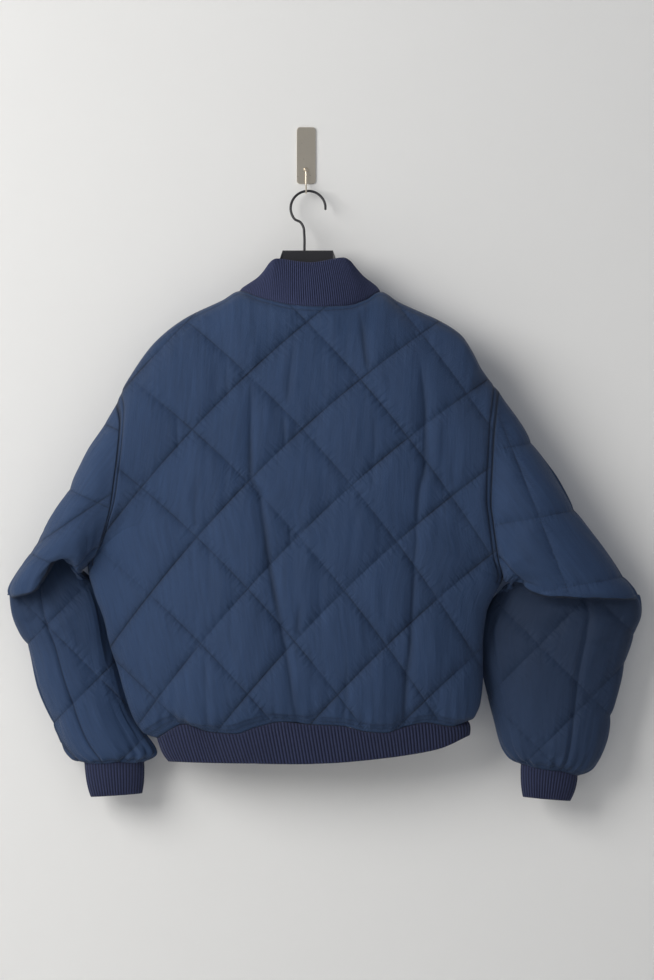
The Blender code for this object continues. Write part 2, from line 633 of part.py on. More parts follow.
def panel(name, surface, normal, ring, lines, puff, grid, inner_lines, crowded):
    """One quilted piece of cloth: outer points raised in cells over a plain inside."""
    p, faces, rim = net(ring, lines, grid, crowded)
    q, faces_in, rim_in = net(ring, inner_lines, GRID_INSIDE, crowded)
    edge = near(p, dense(ring))
    lift = puff(p) * step((edge - 0.002) / 0.022)
    outer = surface(p) + normal(p) * lift[:, None]
    inner = surface(q) - normal(q) * WALL
    n = len(outer)
    all_faces = faces + [tuple(n + i for i in reversed(f)) for f in faces_in]
    for i in range(len(ring)):
        j = (i + 1) % len(ring)
        a, b, c, d = rim[j], rim[i], n + rim_in[i], n + rim_in[j]
        if (outer[rim[j]] - outer[rim[i]]) @ (1.0, 0.31, 0.73) < 0:
            all_faces += [(a, b, c), (a, c, d)]
        else:
            all_faces += [(a, b, d), (b, c, d)]
    ob = solid(name, np.concatenate([outer, inner]), all_faces, CLOTH, smooth=24)
    return ob, outer[rim], inner[rim_in]


def body_outline(front, first, last):
    """Edge of a body panel from turn first to last, and the marks of its hem and neck stretches."""
    phi = np.radians(np.arange(0, 181, 20.0))

    def side(name, turn):
        v = UNDERARM[name] + (1 - UNDERARM[name]) * (1 + np.cos(phi[::-1])) / 2
        low = np.linspace(0, UNDERARM[name], 17)[1:-1]
        return [(turn, t) for t in list(low) + list(v[:-1])]
    marks = [math.acos(1 - 2 * u) for u in NECK_U]
    middle = (marks[0] + marks[1]) / 2 - (marks[1] - marks[0]) / 2 * np.cos(np.linspace(0, math.pi, 17))
    tops = np.unique(np.round(np.concatenate([np.linspace(0, marks[0], 11), middle,
                                              np.linspace(marks[1], math.pi, 11)]), 9))
    tops = [t for t in tops if first + 0.01 < t < last - 0.01]
    hem = np.linspace(first, last, max(2, int(round((last - first) / math.pi * 44))) + 1)
    ring = [(t, 0.0) for t in hem]
    if last > math.pi - 1e-6:
        ring += side("right", math.pi)
    else:
        ring += [(last, v) for v in np.linspace(0, 1, 21)[1:-1]]
    top_start = len(ring)
    ring += [(t, 1.0) for t in [last] + tops[::-1] + [first]]
    top_end = len(ring)
    if first < 1e-6:
        ring += side("left", 0.0)[::-1]
    else:
        ring += [(first, v) for v in np.linspace(0, 1, 21)[1:-1][::-1]]
    neck = [i for i in range(top_start, top_end) if marks[0] - 1e-6 <= ring[i][0] <= marks[1] + 1e-6]
    return np.array(ring) * (TURN_SIZE, TORSO_LENGTH), list(range(len(hem))), neck[::-1]


# ------------------------------------------------------------------ ribbed bands
def along_line(points, extra, count):
    """Evenly spaced points on a line, with anything else known at its corners."""
    d = np.concatenate([[0], np.cumsum(np.linalg.norm(np.diff(points, axis=0), axis=1))])
    t = np.linspace(0, d[-1], count)
    return [np.stack([np.interp(t, d, a[:, k]) for k in range(a.shape[1])], 1) for a in (points, *extra)]


def band(name, outer, inner, closed):
    """Ribbed wall from rows of outer points, two for each rib, and inner points, one for each."""
    rows, m = len(outer), outer[0].shape[0]
    k = inner[0].shape[0]
    points = np.concatenate(list(outer) + list(inner))
    base = rows * m
    faces = []

    def o(r, i):
        return r * m + i % m

    def n(r, i):
        return base + r * k + i % k
    ribs = k if closed else k - 1
    for r in range(rows - 1):
        for i in range(2 * ribs):
            faces.append((o(r, i), o(r, i + 1), o(r + 1, i + 1), o(r + 1, i)))
        for i in range(ribs):
            faces.append((n(r, i + 1), n(r, i), n(r + 1, i), n(r + 1, i + 1)))
    for r, flip in ((0, False), (rows - 1, True)):
        for i in range(ribs):
            for f in ((o(r, 2 * i), n(r, i), o(r, 2 * i + 1)),
                      (o(r, 2 * i + 1), n(r, i), n(r, i + 1)),
                      (o(r, 2 * i + 1), n(r, i + 1), o(r, 2 * i + 2))):
                faces.append(f[::-1] if flip else f)
    if not closed:
        for r in range(rows - 1):
            faces.append((o(r, 0), o(r + 1, 0), n(r + 1, 0), n(r, 0)))
            faces.append((o(r + 1, m - 1), o(r, m - 1), n(r, k - 1), n(r + 1, k - 1)))
    return solid(name, points, faces, RIB, smooth=70)


def ribbed(name, seam_out, seam_in, far, ribs, closed, bulge=0.0):
    """Band from a seam line to a far edge line given at the seam's corners."""
    along = np.roll(seam_out, -1, 0) - np.roll(seam_out, 1, 0)
    if not closed:
        along[0], along[-1] = seam_out[1] - seam_out[0], seam_out[-1] - seam_out[-2]
    away = np.cross(along, seam_out - seam_in)
    away /= np.linalg.norm(away, axis=1, keepdims=True)
    away *= SEAM_GAP * np.sign((away * (far - seam_out)).sum(1))[:, None]
    seam_out, seam_in = seam_out + away, seam_in + away
    if closed:
        seam_out, seam_in, far = [np.concatenate([a, a[:1]]) for a in (seam_out, seam_in, far)]
    top_o, top_i, end = along_line(seam_out, (seam_in, far), 2 * ribs + 1)
    if closed:
        top_o, top_i, end = top_o[:-1], top_i[:-1], end[:-1]
    out = top_o - top_i
    out /= np.linalg.norm(out, axis=1, keepdims=True)
    tangent = np.roll(end, -1, 0) - np.roll(end, 1, 0)
    if not closed:
        tangent[0], tangent[-1] = end[1] - end[0], end[-1] - end[-2]
    down = end - top_o
    flat = np.cross(tangent, down)
    flat /= np.linalg.norm(flat, axis=1, keepdims=True)
    flat *= np.sign((flat * out).sum(1))[:, None]
    wave = np.where(np.arange(len(top_o)) % 2 == 1, RIB_RELIEF, 0.0)[:, None]
    mid = (top_o + end) / 2 + flat * bulge
    outer = [top_o + out * wave * 0.2, mid + flat * wave, end + flat * wave]
    inner = [top_i[::2], (mid - flat * RIB_WALL)[::2], (end - flat * RIB_WALL)[::2]]
    if not bulge:
        outer, inner = outer[::2], inner[::2]
    return band(name, outer, inner, closed)


# ------------------------------------------------------------------ build: cloth
def armhole_distance(p):
    """How far body places above the underarm are from the armhole seam, 1 below it."""
    u = (1 - np.cos(p[:, 0] / TURN_SIZE)) / 2
    v = p[:, 1] / TORSO_LENGTH
    above = np.where(u < 0.5, v > UNDERARM["left"] - 0.02, v > UNDERARM["right"] - 0.02)
    return np.where(above, np.minimum(u, 1 - u) * (right_x(v) - left_x(v)), 1.0)


def build_body():
    """Back and fronts; gives their seams at hem and neck."""
    whole = math.pi
    split = ZIP_HALF_GAP / 0.267
    spans = {"back_panel": (False, 0.0, whole), "front_left": (True, 0.0, whole / 2 - split),
             "front_right": (True, whole / 2 + split, whole)}
    seams = {}
    for name, (front, first, last) in spans.items():
        ring, hem, neck = body_outline(front, first, last)
        surface, normal = body_surface(front), body_normals(front)

        def puff(p, surface=surface, front=front):
            spot = surface(p)
            keep = step(armhole_distance(p) / 0.02)
            if front:
                keep = keep * step(np.sin(p[:, 0] / TURN_SIZE) / 0.45)
            return cell_puff(cells(spot[:, 0], spot[:, 2])) * keep
        folds = zip_edge() if front else fold_lines()
        _, out, inn = panel(name, surface, normal, ring, quilt_lines(front) + armhole_inset() + folds,
                            puff, GRID_FRONT if front else GRID_BACK,
                            folds + armhole_inset() + shoulder_rows(),
                            lambda p: armhole_distance(p) < 0.012)
        seams[name] = (ring, out, inn, hem, neck)
    return seams


def loop(seams, which):
    """Hem or neck seam from the front left edge round the back to the front right edge."""
    parts = []
    for name, back in (("front_left", False), ("back_panel", True), ("front_right", False)):
        ring, out, inn, hem, neck = seams[name]
        ids = hem if which == "hem" else neck
        order = ids if back else ids[::-1]
        parts.append((ring[order, 0] / TURN_SIZE, out[order], inn[order], name != "back_panel"))
    turn = np.concatenate([p[0] for p in parts])
    front = np.concatenate([np.full(len(p[0]), p[3]) for p in parts])
    return turn, front, np.concatenate([p[1] for p in parts]), np.concatenate([p[2] for p in parts])


def build_hem(seams):
    turn, front, out, inn = loop(seams, "hem")
    u = (1 - np.cos(turn)) / 2
    x = metres_x(HEM_BOTTOM[0][0]) * (1 - u) + metres_x(HEM_BOTTOM[-1][0]) * u
    x = np.where(front, x + 4 * u * (1 - u) * (metres_x(307) - metres_x((169 + 469) / 2)), x)
    z = hem_bottom_z(u)
    y = middle_y(z) + np.where(front, 1, -1) * HEM_DEPTH * np.sin(turn)
    ribbed("hem_rib", out, inn, np.stack([x, y, z], 1), HEM_RIBS, False)


def build_collar(seams):
    turn, front, out, inn = loop(seams, "neck")
    d = np.concatenate([[0], np.cumsum(np.linalg.norm(np.diff(out, axis=0), axis=1))])
    t = d / d[-1]
    rows = np.array(COLLAR_TOP)
    x = metres_x(curve(rows[:, 0], rows[:, 1])(t))
    z = metres_z(curve(rows[:, 0], rows[:, 2])(t))
    y = middle_y(z) + curve(rows[:, 0], rows[:, 3])(t)
    ribbed("collar", out, inn, np.stack([x, y, z], 1), COLLAR_RIBS, False, 0.003)


def build_sleeve(side):
    """Outer and under panel of a sleeve and its cuff."""
    surface, normal = sleeve_surface(side), sleeve_normals(side)

    def puff(p):
        turn = p[:, 0] / SLEEVE_RADIUS
        inner_edge = np.cos(turn) < -0.75
        near_body = step((p[:, 1] - 0.03) / 0.05)
        keep = np.where(inner_edge, 0.15, 1.0) * near_body
        lip = np.minimum(*[np.abs(p[:, 1] - e) for e in ELBOW_LIP[side]])
        keep = keep * np.where(np.sin(turn) > 0, step(lip / 0.02), 1)
        return cell_puff(sleeve_cells(p, side)) * keep * 0.8
    lines = sleeve_lines(side)
    under_lines = [(line + [2 * math.pi * SLEEVE_RADIUS, 0], gap) for line, gap in lines[:-2]] + lines
    rim = []
    for name, under in (("upper", False), ("under", True)):
        ring = sleeve_outline(side, under)
        kept = lines[-2:] + armhole_lines()
        _, out, inn = panel("sleeve_%s_%s" % (side, name), surface, normal, ring,
                            (under_lines if under else lines) + armhole_lines(), puff, GRID_SLEEVE,
                            kept, lambda p: (np.cos(p[:, 0] / SLEEVE_RADIUS) < -0.8) & (p[:, 1] < 0.15))
        end = [i for i in range(len(ring)) if ring[i, 1] > SLEEVE[side][1] - 1e-6]
        order = sorted(end, key=lambda i: ring[i, 0])
        rim.append((ring[order, 0] / SLEEVE_RADIUS, out[order], inn[order]))
    turn, out, inn = [np.concatenate([r[k] for r in rim]) for k in range(3)]
    ox, oz, ix, iz = CUFF_END[side]
    a, b = np.array([metres_x(ox), metres_z(oz)]), np.array([metres_x(ix), metres_z(iz)])
    c, s = np.cos(turn)[:, None], np.sin(turn)
    xz = (a + b) / 2 + (a - b) / 2 * c
    mid = SLEEVE[side][0][6](SLEEVE[side][1])
    y = mid - 0.015 * s
    far = np.stack([xz[:, 0], y, xz[:, 1]], 1)
    ribbed("cuff_" + side, out, inn, far, CUFF_RIBS, True)


# ------------------------------------------------------------------ build: zip
ZIP_TAPE_HALF, ZIP_TAPE_THICK, ZIP_CHAIN_HALF = 0.011, 0.0011, 0.0026
PULL_PIN = 0.0007       # radius of the pin the pull tab hangs on
PULL_HOLE = 0.0010
PULL_LENGTH, PULL_WIDTH, PULL_THICK = 0.0170, 0.0052, 0.0016


def centre_line():
    """Inner face of the closed fronts at the centre, from the hem's lower edge to the neck."""
    v = np.append(np.linspace(0, 1, 21)[:-1], 0.985)
    p = np.stack([np.full_like(v, TORSO_HALF_GIRTH / 2), v * TORSO_LENGTH], 1)
    spots, out = body_surface(True)(p), body_normals(True)(p)
    out[:, 0] = 0
    out[0] = out[1]
    out /= np.linalg.norm(out, axis=1, keepdims=True)
    low_z = hem_bottom_z(0.5)
    low = np.array([[spots[0, 0], middle_y(low_z) + HEM_DEPTH, low_z + 0.0005]])
    turn = np.array([[0.0, 1.0, 0.0]])
    return np.concatenate([low, spots]), np.concatenate([turn, out])


def build_zip():
    """Tape behind the two fronts, its chain standing in the gap between them."""
    spots, out = centre_line()
    spots = spots - out * WALL
    h, c, t = ZIP_TAPE_HALF, ZIP_CHAIN_HALF, ZIP_TAPE_THICK
    low = -SEAM_GAP - 0.0012
    section = [(-h, low - t), (h, low - t), (h, low), (c, low), (c, 0.0016), (-c, 0.0016), (-c, low), (-h, low)]
    n = len(section)
    points = [s + (x, 0, 0) + o * d for s, o in zip(spots, out) for x, d in section]
    faces = [(i * n + j, i * n + (j + 1) % n, (i + 1) * n + (j + 1) % n, (i + 1) * n + j)
             for i in range(len(spots) - 1) for j in range(n)]
    for base in (0, (len(spots) - 1) * n):
        faces += [(base, base + 1, base + 2, base + 3), (base, base + 3, base + 6, base + 7),
                  (base + 3, base + 4, base + 5, base + 6)]
    solid("zip_tape", points, faces, TAPE)
    return spots[-2], out[-2]


def box(centre, size, axes, taper=1.0):
    """Corner points of a box, its outer face tapered, on three axes."""
    pts = []
    for k, wide in ((-1, 1.0), (1, taper)):
        for i, j in ((-1, -1), (1, -1), (1, 1), (-1, 1)):
            pts.append(centre + axes[0] * i * size[0] / 2 * wide + axes[1] * j * size[1] / 2 * wide
                       + axes[2] * k * size[2] / 2)
    return pts, [(0, 3, 2, 1), (4, 5, 6, 7), (0, 1, 5, 4), (1, 2, 6, 5), (2, 3, 7, 6), (3, 0, 4, 7)]


def join(name, parts, mat):
    """One solid from overlapping closed pieces."""
    objects = [solid(name if i == 0 else "%s_part%d" % (name, i), p, f, mat) for i, (p, f) in enumerate(parts)]
    for other in objects[1:]:
        cut = objects[0].modifiers.new("join", "BOOLEAN")
        cut.operation, cut.solver, cut.object = "UNION", "EXACT", other
    dg = bpy.context.evaluated_depsgraph_get()
    mesh = bpy.data.meshes.new_from_object(objects[0].evaluated_get(dg))
    objects[0].modifiers.clear()
    objects[0].data = mesh
    for other in objects[1:]:
        bpy.data.objects.remove(other, do_unlink=True)
    return objects[0]


def build_slider(spot, out):
    """Slider over the chain with two lugs and a pin, and the tab that hangs on the pin."""
    side, up = np.array([1.0, 0, 0]), np.cross([1.0, 0, 0], out)
    up *= np.sign(up[2])
    axes = (side, up, out)
    base = spot + out * (WALL + 0.0022) - up * 0.0030
    pin = base + out * 0.0034 + up * 0.0010
    parts = [box(base, (0.0088, 0.0112, 0.0024), axes, 0.82)]
    for x in (-0.0034, 0.0034):
        parts.append(box(pin + side * x - out * 0.0015, (0.0012, 0.0034, 0.0048), axes, 0.8))
    ring = [(math.cos(a), math.sin(a)) for a in np.linspace(0, 2 * math.pi, 13)[:-1]]
    pts = [pin + side * x + PULL_PIN * (up * c + out * s) for x in (-0.0036, 0.0036) for c, s in ring]
    n = len(ring)
    faces = [(i, (i + 1) % n, n + (i + 1) % n, n + i) for i in range(n)] + [
        tuple(range(n))[::-1], tuple(range(n, 2 * n))]
    parts.append((pts, faces))
    join("zip_slider", parts, STEEL)
    eye = 0.0018
    outline = []
    for c, s in ring:
        u, w = eye * c, eye * s
        outline.append((u, w))
    hole = [(PULL_HOLE * c, PULL_HOLE * s) for c, s in ring]
    low = min(range(n), key=lambda i: ring[i][0])
    tail = {low - 1: (-PULL_LENGTH, PULL_THICK / 2), low: (-PULL_LENGTH - 0.0004, 0.0), low + 1: (-PULL_LENGTH, -PULL_THICK / 2)}
    for k, place in tail.items():
        outline[k] = place
    pts, half = [], PULL_WIDTH / 2
    for x in (-half, half):
        for u, w in outline + hole:
            pts.append(pin + side * x + up * u + out * w)
    faces, m = [], 2 * n
    for i in range(n):
        j = (i + 1) % n
        faces += [(i, j, m + j, m + i), (n + j, n + i, m + n + i, m + n + j),
                  (j, i, n + i, n + j), (m + i, m + j, m + n + j, m + n + i)]
    solid("zip_pull", pts, faces, STEEL)
    return pin


# ------------------------------------------------------------------ build: holder
HOOK_WIRE, WALL_WIRE = 0.0018, 0.0012
HOOK_RADIUS = 0.0245
HOOK_TOP_Z = -0.0504
HOOK_Y = -0.0130
HANGER_TOP_Z = (PLATE_DOWN - 250) * SCALE


def hook_y(z):
    """The hook leans out from its hold on the wall wire to the hanger's body."""
    share = (HOOK_TOP_Z - z) / (HOOK_TOP_Z - HANGER_TOP_Z)
    return HOOK_Y + (float(middle_y(HANGER_TOP_Z)) - HOOK_Y) * share


def tube(name, path, radii, mat, sides=10):
    """Round bar through path points, each with its own radius, closed by flat ends."""
    path = [np.array(p, float) for p in path]
    points, faces = [], []
    normal = None
    for i, p in enumerate(path):
        t = path[min(i + 1, len(path) - 1)] - path[max(i - 1, 0)]
        t /= np.linalg.norm(t)
        if normal is None:
            normal = np.cross(t, [1, 0, 0] if abs(t[0]) < 0.9 else [0, 1, 0])
        normal = normal - t * normal.dot(t)
        normal /= np.linalg.norm(normal)
        b = np.cross(t, normal)
        for k in range(sides):
            a = 2 * math.pi * k / sides
            points.append(p + radii[i] * (normal * math.cos(a) + b * math.sin(a)))
    for i in range(len(path) - 1):
        for k in range(sides):
            m = (k + 1) % sides
            faces.append((i * sides + k, i * sides + m, (i + 1) * sides + m, (i + 1) * sides + k))
    last = (len(path) - 1) * sides
    faces += [tuple(range(sides))[::-1], tuple(range(last, last + sides))]
    return solid(name, points, faces, mat, 60)


def build_holder():
    x0, z0 = metres_x(308), HOOK_TOP_Z - HOOK_RADIUS
    turns = np.radians(np.concatenate([np.arange(-4, 200, 14.0), [206, 218, 230]]))
    path = [(x0 + HOOK_RADIUS * math.cos(a), z0 + HOOK_RADIUS * math.sin(a)) for a in turns]
    path += [(metres_x(300.5), metres_z(221.5)), (metres_x(303.2), metres_z(226)), (metres_x(304.2), metres_z(234)),
             (metres_x(304.4), metres_z(249.43))]
    keep = path[:17] + path[-4:]
    tube("hanger_hook", [(x, hook_y(z), z) for x, z in keep], [HOOK_WIRE * 0.9] + [HOOK_WIRE] * (len(keep) - 1), BLACK)

    shape = [(-0.0020, -0.0203, 0.0034), (-0.0034, -0.0203, 0.0033), (-0.0048, -0.0205, 0.0022),
             (-0.0058, -0.0212, WALL_WIRE), (-0.0070, -0.0235, WALL_WIRE), (-0.0075, -0.0280, WALL_WIRE),
             (-0.0075, -0.0400, WALL_WIRE)]
    low = HOOK_TOP_Z - HOOK_WIRE - 0.0006 - WALL_WIRE
    r = 0.0055
    for a in np.radians(np.arange(0, -181, -22.5)):
        shape.append((HOOK_Y + r * math.cos(a), low + r + r * math.sin(a), WALL_WIRE))
    shape += [(HOOK_Y - r - 0.0006, low + r + 0.0035, WALL_WIRE), (HOOK_Y - r - 0.0014, low + r + 0.0065, WALL_WIRE)]
    tube("wall_wire_hook", [(0, y, z) for y, z, _ in shape], [q[2] for q in shape], STEEL)

    half_w, half_h, corner, deep = 0.0131, 0.0399, 0.0042, 0.0019
    ring = []
    for sx, sz, a0 in ((1, 1, 0), (-1, 1, 90), (-1, -1, 180), (1, -1, 270)):
        for a in np.radians(a0 + np.array([0, 30, 60, 90])):
            ring.append((sx * (half_w - corner) + corner * math.cos(a), sz * (half_h - corner) + corner * math.sin(a)))
    n = len(ring)
    points = [(x * k, y, z * (half_h - 0.0004 * (k < 1)) / half_h) for y, k in ((0.0, 1.0), (-deep + 0.0004, 1.0), (-deep, 0.97))
              for x, z in ring]
    faces = [(r0 * n + i, r0 * n + (i + 1) % n, (r0 + 1) * n + (i + 1) % n, (r0 + 1) * n + i)
             for r0 in range(2) for i in range(n)] + [tuple(range(n)), tuple(range(2 * n, 3 * n))[::-1]]
    solid("wall_plate", points, faces, STEEL)
    build_hanger()


def build_hanger():
    """Flat black hanger: level top at the neck, arms under the shoulders of the cloth."""
    low = shoulder_inside()
    top = []
    for sign in (-1, 1):
        side = []
        for across, down in HANGER_TOP[:-1]:
            side.append((metres_x(across if sign < 0 else 615.5 - across), metres_z(down)))
        for x in np.linspace(metres_x(236 if sign < 0 else 385), sign * HANGER_END, 9):
            side.append((x, low(x) - 0.0014))
        top = side[::-1] if sign < 0 else top + side
    points, n = [], 8
    for i, (x, z) in enumerate(top):
        share = min(1.0, abs(x) / HANGER_END)
        tall = 0.040 - 0.020 * share
        thick = HANGER_THICK * (1.0 - 0.35 * share)
        if i in (0, len(top) - 1):
            tall, thick = tall * 0.7, thick * 0.6
        e, y0 = 0.0022, float(middle_y(z - 0.004))
        for y, dz in ((-thick / 2 + e, 0), (thick / 2 - e, 0), (thick / 2, -e), (thick / 2, -tall + e),
                      (thick / 2 - e, -tall), (-thick / 2 + e, -tall), (-thick / 2, -tall + e), (-thick / 2, -e)):
            points.append((x, y0 + y, z + dz))
    faces = [(i * n + k, i * n + (k + 1) % n, (i + 1) * n + (k + 1) % n, (i + 1) * n + k)
             for i in range(len(top) - 1) for k in range(n)]
    last = (len(top) - 1) * n
    faces += [tuple(range(n))[::-1], tuple(range(last, last + n))]
    solid("hanger_body", points, faces, BLACK, 35)


def shoulder_inside():
    """Lowest height of the inside of the shoulder cloth over the hanger's arms, by x."""
    turn, v = np.meshgrid(np.linspace(0.04, math.pi - 0.04, 500), np.linspace(0.90, 1.0, 26))
    p = np.stack([turn.ravel() * TURN_SIZE, v.ravel() * TORSO_LENGTH], 1)
    spots = np.concatenate([body_surface(f)(p) - body_normals(f)(p) * WALL for f in (False, True)])
    over = np.abs(spots[:, 1] - middle_y(spots[:, 2])) < HANGER_THICK / 2 + 0.0006
    spots = spots[over]

    def at(x):
        return float(spots[np.abs(spots[:, 0] - x) < 0.003, 2].min())
    return at


seams = build_body()
build_hem(seams)
build_collar(seams)
for side in ("left", "right"):
    build_sleeve(side)
spot, out = build_zip()
build_slider(spot, out)
build_holder()
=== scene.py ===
"""Looks of a quilted bomber jacket on its hanger and wall hook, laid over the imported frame.

Metres, in the frame of the solids: origin at the wall plate, +Y into the wall, +Z up.
"""
import math

import bmesh
import bpy
import numpy as np
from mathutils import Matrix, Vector


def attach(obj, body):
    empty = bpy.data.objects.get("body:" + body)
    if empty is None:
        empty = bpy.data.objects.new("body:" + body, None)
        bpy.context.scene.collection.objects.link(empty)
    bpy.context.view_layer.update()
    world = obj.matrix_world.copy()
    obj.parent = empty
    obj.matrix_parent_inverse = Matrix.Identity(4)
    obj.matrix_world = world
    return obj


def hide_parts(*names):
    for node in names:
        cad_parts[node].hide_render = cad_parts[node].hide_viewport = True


bl_info = {
    "name": "Quilted jacket on a wall hook",
    "version": (1, 0, 0),
    "blender": (4, 5, 0),
    "location": "3D View > Sidebar > Jacket",
    "description": "Builds the cloth, ribs, sewing, zip and hanger of a quilted jacket over its frame",
    "category": "Add Mesh",
}

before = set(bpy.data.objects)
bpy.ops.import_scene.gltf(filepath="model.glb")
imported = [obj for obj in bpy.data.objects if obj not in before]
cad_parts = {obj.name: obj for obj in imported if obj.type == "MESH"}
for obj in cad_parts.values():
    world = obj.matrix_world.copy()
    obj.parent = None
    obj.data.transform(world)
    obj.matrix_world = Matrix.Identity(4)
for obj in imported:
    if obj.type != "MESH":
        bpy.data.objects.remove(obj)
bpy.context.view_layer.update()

# ------------------------------------------------------------------ sizes
SCALE = 0.0014          # metres of garment for one unit of the tables' across and down columns
PLATE_ACROSS = 306.0    # the wall plate's centre in those units
PLATE_DOWN = 153.5
PICTURE_ACROSS, PICTURE_DOWN, PICTURE_HIGH = 327, 490, 980  # middle and height of the camera's view
FOCAL, SENSOR = 250.0, 36.0     # of the camera, mm
SEEN_PLANE = -0.060             # y at which the view is as high as that
WALL = 0.003            # quilted cloth at its stitch lines
SEAM_GAP = 0.0003
RIB_WALL = 0.0028
RIB_RELIEF = 0.0013
HEM_RIBS, COLLAR_RIBS, CUFF_RIBS = 198, 156, 44
RIB_POINTS = 6          # columns of the mesh in one rib
TORSO_HALF_GIRTH = 0.60
TORSO_LENGTH = 0.60
BODY_HALF_WIDTH = 0.267
SIDE_RADIUS = 0.062     # metres of body cloth for one radian of turn near the sides
QUILT_PITCH = 0.103     # metres between stitch lines
SLEEVE_HALF_GIRTH = 0.175
SLEEVE_REACH = 0.045    # metres of sleeve cloth for one radian on its flat faces
TOP_ROUND = 0.70        # share of the height where back and front begin to close to the shoulder
ZIP_HALF_GAP = 0.004

# Left edge of the back: hem, side, underarm, armhole seam up to the shoulder.
LEFT_EDGE = [  # down, across
    (738, 157), (732.6, 143), (716, 132.6), (690.5, 124), (669.5, 118), (644, 109.5), (619, 104),
    (594, 95), (566, 88), (554, 97), (530.5, 105), (507, 111.5), (482, 115), (449, 119),
    (423, 120.7), (404, 117)]
RIGHT_EDGE = [  # down, across
    (721, 468), (716, 475), (701, 480.6), (676, 483), (645, 483), (613, 486), (590, 496.5),
    (578, 502.5), (560, 498), (545, 495.6), (520, 492), (503, 490), (462, 491.5), (437, 493),
    (413, 495.6), (391, 498)]
# Shoulder line and, between the neck points, the seam of the collar at the back.
TOP_EDGE = [  # across, down
    (117, 404), (121, 393), (128, 380), (156, 341.5), (186, 318), (223, 300), (240, 291),
    (259, 297.5), (294, 305.5), (317, 307), (347, 306), (366, 300), (380.5, 291.5), (398, 301.5),
    (416, 310), (439, 320.5), (461, 335), (472, 351), (482, 370), (498, 391)]
HEM_SEAM = [  # across, down
    (157, 738), (185, 723.5), (209, 731), (236, 733), (257, 726), (282, 721), (311, 723.5),
    (342, 725), (367, 731), (386, 732), (405, 726), (425, 722), (451, 726), (468, 721)]
HEM_BOTTOM = [  # across, down
    (169, 761), (209, 762), (257, 762.5), (294, 763), (330, 762), (367, 759), (408, 754),
    (439, 748), (469, 735)]
NECK_LEFT, NECK_RIGHT = 240.0, 380.5
NECK_POINT_DOWN = 291
FRONT_MIDDLE = 307      # across of the centre front
FRONT_NECK_DROP = 60.0
HEM_DEPTH = 0.034
HEM_STITCHES = (0.0040, 0.0085)  # rows of topstitching above the hem seam

# Half depths of the body from its middle plane.
BODY_DEPTH = [  # share of height, back m, front m
    (0.00, 0.038, 0.034), (0.05, 0.052, 0.044), (0.14, 0.059, 0.050), (0.45, 0.060, 0.052),
    (0.75, 0.057, 0.050), (1.00, 0.050, 0.044)]
ARMHOLE_DEPTH = 0.043
NECK_DEPTH_BACK, NECK_DEPTH_FRONT = 0.038, 0.042
MIDDLE_PLANE = [  # z, y of the plane between back and front
    (-1.10, -0.056), (-0.82, -0.058), (-0.60, -0.066), (-0.30, -0.069), (-0.25, -0.066),
    (-0.20, -0.055), (-0.15, -0.041), (-0.03, -0.013)]

# Crossings of the quilting lines on the back. Lines of one A rise to the right, of one B fall.
FIT_ACROSS, FIT_DOWN, FIT_UNIT = 306, 500, 200  # middle and unit of the fit through the crossings
CROSSINGS = [  # A, B, across, down
    (0, 0, 307, 321), (0, 1, 251, 376), (0, 2, 198, 431), (0, 3, 143, 487), (1, -1, 416, 337),
    (1, 0, 356, 380), (1, 1, 303, 428), (1, 2, 250, 479), (1, 3, 198, 535), (1, 4, 145, 596),
    (2, -1, 474, 390), (2, 0, 405, 439), (2, 1, 347, 487), (2, 2, 291, 540), (2, 3, 250.5, 584.5),
    (2, 4, 204, 644), (2, 5, 152.5, 703), (3, 0, 452, 497), (3, 1, 397, 542), (3, 2, 341, 592.5),
    (3, 3, 296, 635), (3, 4, 259, 688), (4, 0, 495, 555), (4, 1, 439, 606), (4, 2, 388, 646),
    (4, 3, 336.5, 694), (5, 1, 466.4, 647), (5, 2, 424, 703)]

# Rings of the sleeves. across/down of the outer and the inner edge; depth toward the room and
# toward the wall from the ring's own middle; rise of the fold lip at the elbow.
SLEEVE_LEFT = [  # along m, outer across, down, inner across, down, room m, wall m, middle y, rise
    (0.000, 117, 404, 88, 566, 0.043, 0.043, -0.069, 0),
    (0.035, 90, 452, 84, 569, 0.046, 0.043, -0.069, 0),
    (0.075, 62, 501, 82, 571, 0.050, 0.042, -0.067, 2),
    (0.110, 42, 536, 80.5, 573, 0.049, 0.040, -0.064, 7),
    (0.138, 24, 563, 79.5, 575, 0.046, 0.038, -0.061, 17),
    (0.162, 10.5, 591, 79, 578, 0.041, 0.037, -0.057, 31),
    (0.182, 11.6, 598, 84, 580, 0.012, 0.033, -0.047, 29),
    (0.197, 15, 615, 92, 589, 0.020, 0.030, -0.042, 14),
    (0.220, 22, 634, 99, 606, 0.026, 0.028, -0.040, 4),
    (0.250, 32, 655, 105.5, 628, 0.028, 0.026, -0.037, 0),
    (0.295, 41, 688, 114, 656, 0.028, 0.026, -0.036, 0),
    (0.335, 49.5, 712, 122.5, 684, 0.028, 0.026, -0.036, 0),
    (0.370, 58, 735, 132, 712, 0.028, 0.026, -0.036, 0),
    (0.400, 65, 752, 146, 735, 0.028, 0.026, -0.037, 0),
    (0.418, 73, 760, 156, 753, 0.025, 0.024, -0.040, 0),
    (0.430, 84, 763, 144, 762, 0.016, 0.016, -0.040, 0)]
